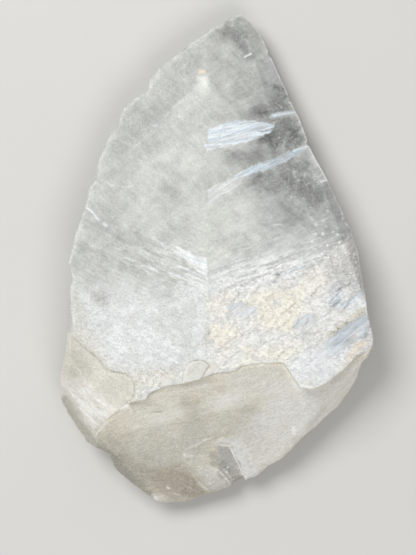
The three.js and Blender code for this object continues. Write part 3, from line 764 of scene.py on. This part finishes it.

# stains and pale places, and the groove's painted shade: lightness, strength, softness, raggedness, wander,
# warmth and outline in mm
stainsAndGrooveShade = [
    (0.87, 0.7, 5, 1.5, 2, 0.5, [(2, -48), (30, -46), (36, -56), (30, -63), (6, -60)]),
    (0.77, 0.7, 6, 2, 3, 1, [(-9, -67), (10, -65), (23, -69), (19, -79), (8, -77), (-7, -81)]),
    (0.91, 0.5, 4, 1.5, 2, 0.8, [(-45, -64), (-30, -61), (-26, -68), (-44, -71)]),
    (0.72, 0.6, 4, 1.5, 2, 1.1, [(-58, -78), (-46, -74), (-42, -86), (-47, -92)]),
    (0.9, 0.7, 2.5, 1.5, 1.5, 0.3, [(34, -56), (48, -57), (60, -46), (62, -52), (50, -63), (38, -62)]),
    (0.885, 0.8, 3, 1.5, 1.5, 0.4, [(40, -60), (52, -60), (56, -66), (46, -74), (38, -80), (34, -76)]),
    (0.91, 0.7, 3, 1.5, 1.5, 0.6, [(50, -50), (60, -43), (64, -46), (59, -60), (51, -63), (45, -56)]),
    (0.885, 0.8, 6, 1.5, 2, 0.25, [(17.7, -64.8), (30.6, -55.9), (42.6, -58.1), (45.2, -69.2), (37.2, -80.3),
        (26.1, -91.4), (17.7, -97.2), (12.3, -93.7), (13.7, -84.8), (10.6, -77.7)]),
    (0.74, 0.7, 7, 2, 3, 0.9, [(-14.8, -60.3), (-7.2, -61.7), (-5, -73.7), (-7.2, -84.8), (-14.3, -83.9),
        (-17, -73.7)]),
    (0.74, 0.6, 3.5, 1.5, 1.5, 1, [(9.7, -62.4), (17.7, -63.4), (17.7, -67.4), (11.4, -69.2)]),
    (0.9, 0.6, 3, 1.5, 1.5, 0.35, [(-2, -60.3), (8.3, -58.6), (9.7, -62.6), (-1, -64.3)]),
    (0.76, 0.7, 9, 2, 4, 0.8, [(-40, -76), (-20, -76), (-6, -80), (-4, -90), (-20, -96), (-44, -88)]),
    (0.65, 0.8, 8, 2, 3, 1.4, [(-48, -84), (-36, -86), (-22, -94), (-20, -104), (-32, -101), (-44, -93)]),
    (0.67, 0.7, 3.5, 1.5, 2, 1.5, [(-22.8, -91.9), (-9.4, -93.7), (-6, -99), (0, -106.1), (-16.1, -106.1),
        (-22.8, -103.4), (-28.6, -97.2)]),
    (0.8, 0.85, 2.6, 2, 0.8, 0.5, [(-10.6, -94.8), (-4.1, -92.2), (0.8, -93.8), (4.2, -97.4), (6.2, -101.2),
        (4.2, -106), (-2.8, -104), (-7.4, -99.4)]),
    (0.87, 0.9, 2.4, 1.6, 0.5, 0.1, [(-0.6, -82.2), (2.1, -79.2), (7, -77.9), (10.6, -78.8), (13.7, -84),
        (18.6, -96.8), (20, -100), (13.5, -102), (11.4, -94.6), (8.3, -88.3), (5.7, -82.6)]),
    # painted shade on the groove's face
    (0.7, 0.9, 1.6, 1.2, 0.5, 0.4, [(0, -82.2), (5.5, -82.8), (8.1, -88.3), (11.2, -94.6), (10, -99),
        (6.5, -96.6), (2.4, -91.4), (0.6, -86.1)]),
    (0.83, 0.6, 4, 1.5, 1.5, 0.5, [(8, -74), (22, -74), (20, -84), (13, -82)]),
    (0.91, 0.6, 4, 2, 2.5, 0.3, [(-6, -60), (8, -57), (12, -60), (6, -66), (-8, -66)]),
    (0.88, 0.6, 5, 2, 3, 0.6, [(-38, -66), (-20, -62), (-16, -68), (-34, -76)]),
    (0.64, 0.8, 1.5, 1, 0.5, 0.5, [(0, -88), (6, -92), (9, -98), (6, -101), (1, -95)]),
    (0.64, 0.8, 2, 1, 0.5, 1.5, [(-15, -96), (-9, -98), (-5, -105), (-12, -107), (-17, -103)]),
    (0.7, 0.7, 1, 0.6, 0, 0.9, [(-3, -84.8), (-0.1, -85.2), (1.2, -92), (-2, -91.6)]),
    (0.66, 0.7, 0.8, 0.6, 0, 0.9, [(7, -96.4), (11.9, -96), (12, -101), (7.6, -101.4)]),
    (0.85, 0.9, 0.5, 0.3, 0, 0.7, spots["smallCrystal"]),
    (0.73, 0.6, 4, 1.5, 1.5, 1, [(-65, -36.8), (-58.8, -36.8), (-52.6, -41.2), (-53.4, -47.4), (-58.8, -51.9),
        (-66.8, -51), (-67.7, -45.7)]),
    (0.62, 0.8, 2, 0.8, 0.5, 1.4, [(-52, -84), (-47, -93), (-41, -101), (-28, -110), (-28, -104), (-40, -93),
        (-45, -84)]),
    (0.74, 0.8, 0.8, 0.4, 0.3, 1.1, [(-68.1, -61.7), (-65.9, -59), (-61.4, -64.3), (-54.3, -75.9),
        (-57, -79.4), (-63.2, -73.2)]),
]
for light, strength, soft, ragged, wander, warmth, outline in stainsAndGrooveShade:
    share = zoneShare(outline, soft, ragged, wander) * strength * front
    lay(share, light=light + 0.04 * (clouds(flatPlaces, 1.6, 2, 171) - 0.5), warm=warmth)
blockStreaks = zoneShare(spots["blockShine"], 3.0, 1.5) * block
blockStreaks *= 0.35 + 0.65 * fibres(0.36, 0.60, flatPlaces + 1.5 * warpFine, -40, 6, 0.7, 2, 172)
lay(blockStreaks * 0.95, light=0.94, warm=0.25)

# small marks, painted glints and painted shade among them: lightness, strength, softness, warmth, blueness
# and outline in mm
marksGlintsAndShade = [
    (0.93, 0.8, 0.5, 2.2, 0, [(-8.4, 83.4), (-5, 83.6), (-4.8, 81.9), (-8, 81.8)]),
    (0.93, 0.8, 1.4, 1.7, 0, [(60.3, -37.4), (62.6, -36.2), (65.4, -36.6), (63.5, -39.2), (60.3, -41.2),
        (58.1, -43.9), (56.3, -47.4), (54.6, -47), (56.3, -42.6)]),
    (0.93, 0.5, 1.2, 1.6, 0, [(37, -54), (42, -50), (44, -51), (40, -55.5)]),
    (0.84, 0.7, 1, 0.3, 0.4, [(56, -37.5), (61, -34), (62.5, -35.5), (58, -38.5)]),
    (0.84, 0.7, 1, 1.3, 0, [(47, -33.6), (52, -29.6), (57, -26), (61, -21.6), (65, -21.4), (64.8, -23),
        (58, -27), (52.5, -31.2), (49, -34.5)]),
    (0.78, 0.7, 0.8, 0.8, 0, [(-5.4, -28.3), (-2.3, -30.5), (-2.8, -36.3), (-4.1, -37.6), (-5.9, -32.7)]),
    (0.94, 0.7, 0.7, 0.2, 0.1, [(5.2, -40), (9.7, -38.1), (12.8, -42.6), (8.3, -45.7), (5.2, -43)]),
    (0.78, 0.5, 2, 0.4, 0, [(-53.9, -13.7), (-47.2, -15), (-48.1, -20.3), (-52.6, -19.9)]),
    (0.82, 0.6, 1.5, 0.4, 0, [(-38.3, -23.4), (-34, -22.6), (-33.9, -26.5), (-37.4, -27)]),
    (0.8, 0.6, 0.7, 0.4, 0, [(-17.9, -21.2), (-16.1, -21.7), (-16.5, -23.4), (-17.7, -23)]),
    # a painted glint
    (0.97, 0.95, 0.3, 0.3, 0, [(-42.3, -65.2), (-39.7, -63), (-37.4, -62.4), (-38.6, -64.4)]),
    (0.92, 0.6, 2.5, 0.2, 0.2, [(-9, -22), (-4, -20), (-4, -36), (-9, -34)]),
    (0.79, 0.7, 2.5, 0.5, 0, [(-66, -12), (-60, -14), (-53, -36), (-61, -34), (-67, -32)]),
    # painted shade seen through the clear right rim, here and in the next two
    (0.72, 0.85, 1.6, 0.3, 0, [(57.5, 11), (61, 11), (64, -1.2), (65.5, -12), (61.4, -12), (59, -1.2)]),
    (0.8, 0.7, 2, 0.3, 0, [(54, 2), (60, 0), (64, -10), (64, -16), (58, -13), (54, -6)]),
    (0.79, 0.6, 3, 0.3, 0, [(46, 8), (57, 8), (60, -2), (60, -12), (50, -14), (46, -4)]),
    # a painted warm glint
    (0.98, 0.9, 0.6, 0.5, 0, [(33.4, -74.4), (35.2, -75), (35.4, -77.4), (33.8, -78)]),
    (0.95, 0.6, 2, 0.1, 0.2, [(30, -46), (42, -40), (56, -46), (50, -53), (42, -56), (36, -55)]),
    (0.93, 0.7, 0.6, 0, 0.35, [(26.5, -8), (33, -4.5), (39.4, -1.8), (39, -3.5), (32, -7)]),
    (0.84, 0.6, 3, 0.4, 0, [(-62, -30), (-54, -30), (-45, -44), (-54, -41)]),
    (0.86, 0.5, 2, 0.6, 0, [(-61, -35), (-52, -41), (-47, -47), (-50, -50), (-58, -44), (-63, -38)]),
    (0.9, 0.6, 2.5, 0.8, 0, [(-40, -50), (-20, -47), (-14, -52), (-22, -55), (-34, -58)]),
    (0.72, 0.7, 3, 0.5, 0.1, [(-56, -14.5), (-50, -13.5), (-46, -17), (-49, -21), (-54, -19.5)]),
    (0.86, 0.6, 3, 0.3, 0, [(37, -29), (43, -31), (46, -38), (40, -41), (36.5, -36)]),
    (0.7, 0.5, 3, 2, 0, [(-28, -94), (-20, -92), (-8, -98), (-8, -106), (-18, -108), (-28, -103)]),
]
for light, strength, soft, warmth, blue, outline in marksGlintsAndShade:
    share = zoneShare(outline, soft, 0.8) * strength * up
    lay(share, light=light, warm=warmth, cool=blue, peach=warmth > 1.5)

# the fine lines with their painted glints and painted shade, broken here and there
lineBreaks = 0.5 + 0.5 * smoothStep(0.3, 0.6, clouds(flatPlaces, 1.8, 2, 175))
for light, width, strength, warmth, line in linesPaintedGlintsAndShade:
    for start, end in zip(line, line[1:]):
        distance, along = segmentDistance(flatPlaces + 0.9 * warpFine, start, end)
        share = np.exp(-(distance / (0.9 * width)) ** 2) * strength * up * lineBreaks
        if len(line) == 2:
            share *= smoothStep(0, 0.25, along) * smoothStep(1, 0.75, along)
        lay(share, light=light, warm=warmth)

# painted glints: bright dots where the rims are chipped, and a few on the open faces
paintedGlint = np.maximum.reduce([
    flecks(2.0, 0.25, 0.6, 181) * zoneShare(spots["rimGlintZone"], 5.0),
    flecks(6.5, 0.12, 0.35, 182) * clearFace * 0.4,
    flecks(1.5, 0.45, 0.5, 183) * zoneShare(spots["tipGlintZone"], 1.0),
])
lay(paintedGlint * up, light=0.95)
# painted glints on the base and at the notch
lowGlintZones = np.maximum(zoneShare(spots["baseGlintZone"], 4.0), zoneShare(spots["notchGlintZone"], 2.5))
lowPaintedGlint = np.maximum(flecks(1.8, 0.22, 0.42, 184) * lowGlintZones, flecks(5.5, 0.18, 0.5, 185) * base * 0.5)
lay(lowPaintedGlint * up, light=0.96, warm=0.2)

# the frost thins out towards the block and the ledge, whose rim is pale; the base along the ledge gets
# painted light against the ledge's shadow
nearBlock = smoothStep(5, 0, edgeDistance(flatPlaces + warpFine, zones["block"])) * frostLeft
lay(nearBlock * 0.6, light=0.85, warm=0.5, cool=0)
net = ridges(clouds(flatPlaces + 2 * warpFine, 3.4, 2, 186), 0.06)
lay(zoneShare(spots["ledgeFade"], 3.5, 1.5) * frostLeft * net * 0.7, light=0.80, warm=1.0, cool=0)
# painted light against the shadow the ledge casts
paintedLightNearLedge = smoothStep(3.5, 0, -edgeDistance(flatPlaces, zones["base"])) * base
paintedLightNearLedge *= smoothStep(-38, -32, x) * (x < 50)
tones["light"] += 0.12 * paintedLightNearLedge

# the walls, and the worn rims with a painted highlight along them
blockCorner = (-58, -33)  # mm, the walls left of and below it are the left block's
blockWall = (x < blockCorner[0]) & (y < blockCorner[1])
lay(wall * blockWall * (1 - down) * 0.8, light=0.75 + 0.10 * (clouds(points, 2.5, 2, 176) - 0.5))
# the ledge's walls painted near white: painted light against their shade
ledgeWallPaintedLight = wall * (zoneShare(zones["base"], 1.5) + zoneShare(zones["block"], 1.5)) * (z > 12)
lay(np.clip(ledgeWallPaintedLight, 0, 1) * 0.8, light=0.97)
veins = streaks(wallPlaces, 5, 24, 2.6, 3, 192) - 0.5
tones["light"] += wall * (1 - down) * (x > blockCorner[0]) * 0.35 * veins
wearAndHighlight = smoothStep(0.8, 0.1, creaseDistance) * (0.35 + 0.65 * clouds(points, 2.2, 2, 191))
wearAndHighlight *= 0.15 + 0.85 * smoothStep(0.05, 0.3, normals[:, 2])
wearAndHighlight *= 1 - 0.8 * zoneShare(spots["dullRim"], 3.0)
# whitened wear plus a painted highlight along the creases and the straight rim on the right
lay((0.6 * wearAndHighlight + 0.35 * smoothRim * smoothStep(1.0, 0.3, creaseDistance)) * (1 - 0.9 * blockWall),
    light=0.90 + 0.06 * smoothRim)
lay(zoneShare(spots["shadedRim"], 1.5, 1.0) * (1 - down) * 0.6, light=0.66, warm=1.0)


def strokePlaces():  # places along and across the fine strokes, for each corner of each triangle
    aside = np.stack([x, y - crystal["seamX"]], axis=1)
    rightShare = smoothStep(-1.6, 1.6, x - crystal["seamX"] + 6 * warpFine[:, 0] + 10 * warpBroad[:, 1])
    fibre = 0.15 * x + 0.006 * np.maximum(x + 10, 0) ** 2 - 0.015 * np.maximum(-30 - x, 0) ** 2
    runs = [
        (0.9 - rightShare, turned(aside, -27)),
        (0.9 * rightShare, turned(aside, 19)),
        (frostRight, turned(aside, 42)),
        (base, np.stack([x, y - fibre], axis=1)),
        (block, turned(aside + 1.5 * warpBroad, -40)),
    ]
    chosen = np.argmax([share[faces].sum(axis=1) for share, _ in runs], axis=0)
    places = np.array([run for _, run in runs])[chosen[:, None], faces]
    return np.dstack([places, np.repeat(10.0 * chosen[:, None], 3, axis=1)])


fanHairs = zoneShare(spots["fan"], 6.0, 1.0) * (1 - rightSide)
frostHairs = zoneShare(spots["frostHairs"], 2.5, 0.8) * rightSide
smooth = 1 - 0.85 * zoneShare(spots["smallCrystal"], 0.5)
hairs = 0.25 * clearFace + 0.25 * base + 0.35 * block + np.maximum(fanHairs, frostHairs) * up
seen = np.clip(tones["light"], 0.3, 1.0)
haze = 0.46 + 0.46 * smoothStep(0.5, 0.84, seen)
haze = laid(haze, 0.97, np.maximum.reduce([rough, powder, paintedReflectionShare, paintedGlint]))
haze = laid(haze, 0.90, np.maximum(base, block))
grains = 0.5 + 0.4 * base + 0.3 * block - 0.3 * darkness
webs = darkness + (0.30 * clearFace + 0.2 * block + 0.2 * base) * (1 - powder) + 0.5 * wall * (1 - base)
shares = {
    "paleness": seen ** 2.2,
    "hazeShare": haze,
    "warmShare": np.clip(tones["warm"] / 2, 0, 1),
    "coolShare": np.clip(tones["cool"], 0, 1),
    "peachShare": tones["peach"],
    "grainShare": laid(grains, 1.0, np.maximum(rough, powder)) * smooth,
    "flakeShare": rough * smooth,
    "powderShare": powder * smooth,
    "strokeShare": 0.4 * clearFace + 0.6 * base + 0.5 * block + 0.3 * rough + 0.4 * striaeShare,
    "hairShare": hairs + 0.35 * rough,
    "webShare": webs,
}
print("looks laid")


# the piece
mesh = bpy.data.meshes.new("calciteSurface")
mesh.from_pydata((shaped * mm).tolist(), [], faces.tolist())
for name, values in shares.items():
    attribute = mesh.attributes.new(name, "FLOAT", "POINT")
    attribute.data.foreach_set("value", values.astype(np.float32))
attribute = mesh.attributes.new("strokePlace", "FLOAT_VECTOR", "CORNER")
attribute.data.foreach_set("vector", strokePlaces().astype(np.float32).ravel())
mesh.validate()


def mend():  # fills the few small gaps left where facets meet
    surface = bmesh.new()
    surface.from_mesh(mesh)
    gaps = [edge for edge in surface.edges if edge.is_boundary]
    bmesh.ops.holes_fill(surface, edges=gaps, sides=0)
    left = sum(edge.is_boundary for edge in surface.edges)
    bmesh.ops.triangulate(surface, faces=[face for face in surface.faces if len(face.verts) > 3])
    surface.to_mesh(mesh)
    surface.free()
    print("mended", len(gaps) - left, "open edges,", left, "left")


mend()
mesh.shade_smooth()
mesh.set_sharp_from_angle(angle=math.radians(28))
calciteCrystal = bpy.data.objects.new("calciteCrystal", mesh)
bpy.context.scene.collection.objects.link(calciteCrystal)
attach(calciteCrystal, "root")
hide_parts("calcite_crystal")
print("crystal made")


# materials

class Value:  # a shader socket that sums are written with
    def __init__(self, shader, socket):
        self.shader = shader
        self.socket = socket

    def sum(self, operation, one, two):
        return self.shader.node("ShaderNodeMath", {"operation": operation}, {0: one, 1: two})

    def __add__(self, other):
        return self.sum("ADD", self, other)

    def __radd__(self, other):
        return self.sum("ADD", other, self)

    def __sub__(self, other):
        return self.sum("SUBTRACT", self, other)

    def __rsub__(self, other):
        return self.sum("SUBTRACT", other, self)

    def __mul__(self, other):
        return self.sum("MULTIPLY", self, other)

    def __rmul__(self, other):
        return self.sum("MULTIPLY", other, self)


class Shader:  # one material and the nodes made in it
    def __init__(self, name):
        self.material = bpy.data.materials.new(name)
        self.material.use_nodes = True
        self.tree = self.material.node_tree
        self.tree.nodes.clear()

    def node(self, kind, settings=None, inputs=None, output=0):
        made = self.tree.nodes.new(kind)
        for name, setting in (settings or {}).items():
            setattr(made, name, setting)
        for name, value in (inputs or {}).items():
            if isinstance(value, Value):
                self.tree.links.new(value.socket, made.inputs[name])
            else:
                made.inputs[name].default_value = value
        return Value(self, made.outputs[output])

    def share(self, name, output="Fac"):  # one of the shares kept on the mesh
        return self.node("ShaderNodeAttribute", {"attribute_name": name}, output=output)

    def places(self, scale=(1, 1, 1), turn=(0, 0, 0), where=None):
        where = where or self.node("ShaderNodeTexCoord", output="Object")
        return self.node("ShaderNodeMapping", {}, {"Vector": where, "Scale": scale, "Rotation": turn})

    def noise(self, scale, detail=2.0, rough=0.5, where=None):
        inputs = {"Scale": scale, "Detail": detail, "Roughness": rough}
        inputs["Vector"] = where or self.places()
        return self.node("ShaderNodeTexNoise", {}, inputs, "Fac")

    def strokes(self, length, width):  # noise drawn out the way the strokes run, sizes in mm
        where = self.places((1 / length, 1 / width, 1), where=self.share("strokePlace", "Vector"))
        return self.noise(1.0, 3.0, 0.6, where)

    def cells(self, length, width, degrees, output):  # square-edged cells along a cleavage, in metres
        where = self.places((1 / length, 1 / width, 1 / length), (0, 0, -math.radians(degrees)))
        inputs = {"Vector": where, "Scale": 1.0}
        return self.node("ShaderNodeTexVoronoi", {"distance": "CHEBYCHEV"}, inputs, output)

    def distance(self, value):  # from the middle of a noise
        return self.node("ShaderNodeMath", {"operation": "ABSOLUTE"}, {0: value - 0.5})

    def lines(self, scale, thin, curl=0.0):  # thin crooked lines where a noise passes its middle
        inputs = {"Scale": scale, "Detail": 3.0, "Roughness": 0.6, "Distortion": curl}
        inputs["Vector"] = self.places()
        return self.clamp(1 - self.distance(self.node("ShaderNodeTexNoise", {}, inputs, "Fac")) * thin)

    def mix(self, share, one, two, blend="MIX"):
        return self.node("ShaderNodeMix", {"data_type": "RGBA", "blend_type": blend},
                         {"Factor": share, 6: one, 7: two}, 2)

    def clamp(self, value, low=0.0, high=1.0):
        return self.node("ShaderNodeClamp", {}, {"Value": value, "Min": low, "Max": high})

    def finish(self, surface, volume=None):
        output = self.tree.nodes.new("ShaderNodeOutputMaterial")
        self.tree.links.new(surface.socket, output.inputs["Surface"])
        if volume:
            self.tree.links.new(volume.socket, output.inputs["Volume"])
        return self.material


look = {
    "warmTint": (1.0, 0.915, 0.68, 1),
    "peachTint": (1.0, 0.87, 0.74, 1),
    "coolTint": (0.74, 0.87, 1.0, 1),
    "clear": (0.96, 0.97, 0.96, 1),
    "depthTint": (0.86, 0.88, 0.86, 1),
    "absorption": 12.0,
    "clearIor": 1.6,
    "milkIor": 1.5,
    "clearRoughness": 0.25,
    "milkRoughness": 0.42,
    "glow": 0.6,
    "glowDepth": 0.0025,  # metres, as are the next five
    "bumpDepth": 0.0003,
    "grainSize": 0.0012,
    "dustSize": 0.0005,
    "flakeSize": (0.0021, 0.0010),
    "scaleSize": (0.0014, 0.0009),
    "strokeSize": (4.5, 0.9),  # mm
    "hairSize": (11, 2.2),
    "grain": 0.30,
    "dust": 0.45,
    "flake": 0.14,
    "crackWithShade": 0.09,
    "scale": 0.10,
    "crinkle": 0.12,
    "web": 0.15,
    "stroke": 0.22,
    "hair": 0.16,
}


def calciteMaterial():
    shader = Shader("clearToMilkyCalcite")
    grain = shader.noise(1 / look["grainSize"], 3, 0.6) - 0.5
    dust = shader.noise(1 / look["dustSize"], 2, 0.5) - 0.5
    stroke = shader.strokes(*look["strokeSize"]) - 0.5
    hair = shader.clamp(1 - shader.distance(shader.strokes(*look["hairSize"])) * 30)
    flake = shader.cells(*look["flakeSize"], crystal["cleavageA"], "Color") - 0.5
    ridge = shader.cells(*look["flakeSize"], crystal["cleavageA"], "Distance")
    scale = shader.cells(*look["scaleSize"], -27, "Color") - 0.5
    grainShare, flakeShare, powderShare, strokeShare, hairShare, webShare = (
        shader.share(name + "Share") for name in ("grain", "flake", "powder", "stroke", "hair", "web"))
    speckle = (grain * look["grain"] + dust * look["dust"]) * grainShare
    # dark lines at the flakes' edges: cracks, darkened as painted shade at their steps
    crackWithShade = shader.clamp((ridge - 0.34) * 5)
    speckle = speckle + (flake * look["flake"] - crackWithShade * look["crackWithShade"]) * flakeShare
    speckle = speckle + scale * look["scale"] * powderShare
    speckle = speckle - shader.lines(620, 16) * look["crinkle"] * powderShare
    web = shader.lines(170, 26, 1.2) + shader.lines(340, 20, 0.8) * 0.6
    speckle = speckle + web * look["web"] * webShare
    speckle = speckle + stroke * look["stroke"] * strokeShare + hair * look["hair"] * hairShare
    pale = shader.clamp(shader.share("paleness") + speckle, 0.02, 0.96)
    colour = shader.mix(pale, (0, 0, 0, 1), (1, 1, 1, 1))
    warmTint = shader.mix(shader.share("peachShare"), look["warmTint"], look["peachTint"])
    for share, tint in (("warmShare", warmTint), ("coolShare", look["coolTint"])):
        colour = shader.mix(shader.share(share), colour, shader.mix(1.0, colour, tint, "MULTIPLY"))
    bump = shader.node("ShaderNodeBump", {}, {
        "Strength": 0.8,
        "Distance": look["bumpDepth"],
        "Height": grain + dust * 0.5 + (flake - crackWithShade * 0.5) * flakeShare + scale * powderShare
        + stroke * strokeShare * 0.6,
    })
    softBump = shader.node("ShaderNodeBump", {}, {
        "Strength": 0.3, "Distance": look["bumpDepth"], "Height": grain + stroke * strokeShare,
    })
    milky = shader.node("ShaderNodeBsdfPrincipled", {}, {
        "Base Color": colour, "Roughness": look["milkRoughness"], "IOR": look["milkIor"], "Normal": bump,
        "Subsurface Weight": look["glow"], "Subsurface Radius": (1, 1, 1),
        "Subsurface Scale": look["glowDepth"],
    })
    clear = shader.node("ShaderNodeBsdfPrincipled", {}, {
        "Base Color": look["clear"], "Roughness": look["clearRoughness"], "IOR": look["clearIor"],
        "Transmission Weight": 1.0, "Normal": softBump,
    })
    haze = shader.clamp(shader.share("hazeShare") + stroke * strokeShare * 0.3)
    surface = shader.node("ShaderNodeMixShader", {}, {0: haze, 1: clear, 2: milky})
    volume = shader.node("ShaderNodeVolumeAbsorption", {}, {
        "Color": look["depthTint"], "Density": look["absorption"],
    })
    return shader.finish(surface, volume)


mesh.materials.append(calciteMaterial())


# floor, light and camera
stage = {
    "floorColour": (0.66, 0.65, 0.63, 1),
    "floorShade": (0.60, 0.59, 0.57, 1),
    "floorReach": 4.0,  # m to each side
    "floorGap": 0.2,  # mm between the crystal's back and the floor
    "aim": (-3.67, -8.11, 15.0),  # mm, the middle of the view
    "distance": 900.0,
    "viewHeight": 246.7,  # mm seen from top to bottom at the rim's height
    "roomLight": 0.36,
    "roomColour": (0.98, 0.985, 0.98, 1),
}
lamps = {
    "window": {"place": (-0.60, 0.65, 1.25), "size": 0.8, "watts": 16.2, "colour": (0.97, 0.985, 0.98)},
    "fill": {"place": (0.35, -0.75, 1.4), "size": 1.0, "watts": 7.8, "colour": (1.0, 0.98, 0.96)},
}


def floorMaterial():
    shader = Shader("paleFloor")
    colour = shader.mix(shader.noise(6, 3, 0.5), stage["floorColour"], stage["floorShade"])
    paint = shader.node("ShaderNodeBsdfPrincipled", {}, {"Base Color": colour, "Roughness": 0.7})
    return shader.finish(paint)


def addFloor():
    sheet = bpy.data.meshes.new("floorSheet")
    reach = stage["floorReach"]
    sides = ((-1, -1), (1, -1), (1, 1), (-1, 1))
    sheet.from_pydata([(x * reach, y * reach, -stage["floorGap"] * mm) for x, y in sides], [], [(0, 1, 2, 3)])
    sheet.materials.append(floorMaterial())
    floor = bpy.data.objects.new("floor", sheet)
    bpy.context.scene.collection.objects.link(floor)


def addLamp(name, place, size, watts, colour):
    lamp = bpy.data.lights.new(name, "AREA")
    lamp.shape = "DISK"
    lamp.size = size
    lamp.energy = watts
    lamp.color = colour
    holder = bpy.data.objects.new(name, lamp)
    holder.location = place
    holder.rotation_euler = Vector(place).to_track_quat("Z", "Y").to_euler()
    bpy.context.scene.collection.objects.link(holder)


def addWorld():
    world = bpy.data.worlds.new("softRoom")
    world.use_nodes = True
    background = world.node_tree.nodes["Background"]
    background.inputs["Color"].default_value = stage["roomColour"]
    background.inputs["Strength"].default_value = stage["roomLight"]
    bpy.context.scene.world = world
    bpy.context.scene.view_settings.view_transform = "Standard"


def addCamera():
    camera = bpy.data.cameras.new("camera")
    camera.sensor_fit = "VERTICAL"
    camera.angle = 2 * math.atan(stage["viewHeight"] / 2 / stage["distance"])
    camera.clip_end = 20
    holder = bpy.data.objects.new("camera", camera)
    x, y, z = stage["aim"]
    holder.location = (x * mm, y * mm, (z + stage["distance"]) * mm)
    bpy.context.scene.collection.objects.link(holder)
    bpy.context.scene.camera = holder


addFloor()
for name, lamp in lamps.items():
    addLamp(name, **lamp)
addWorld()
addCamera()
print("stage set")
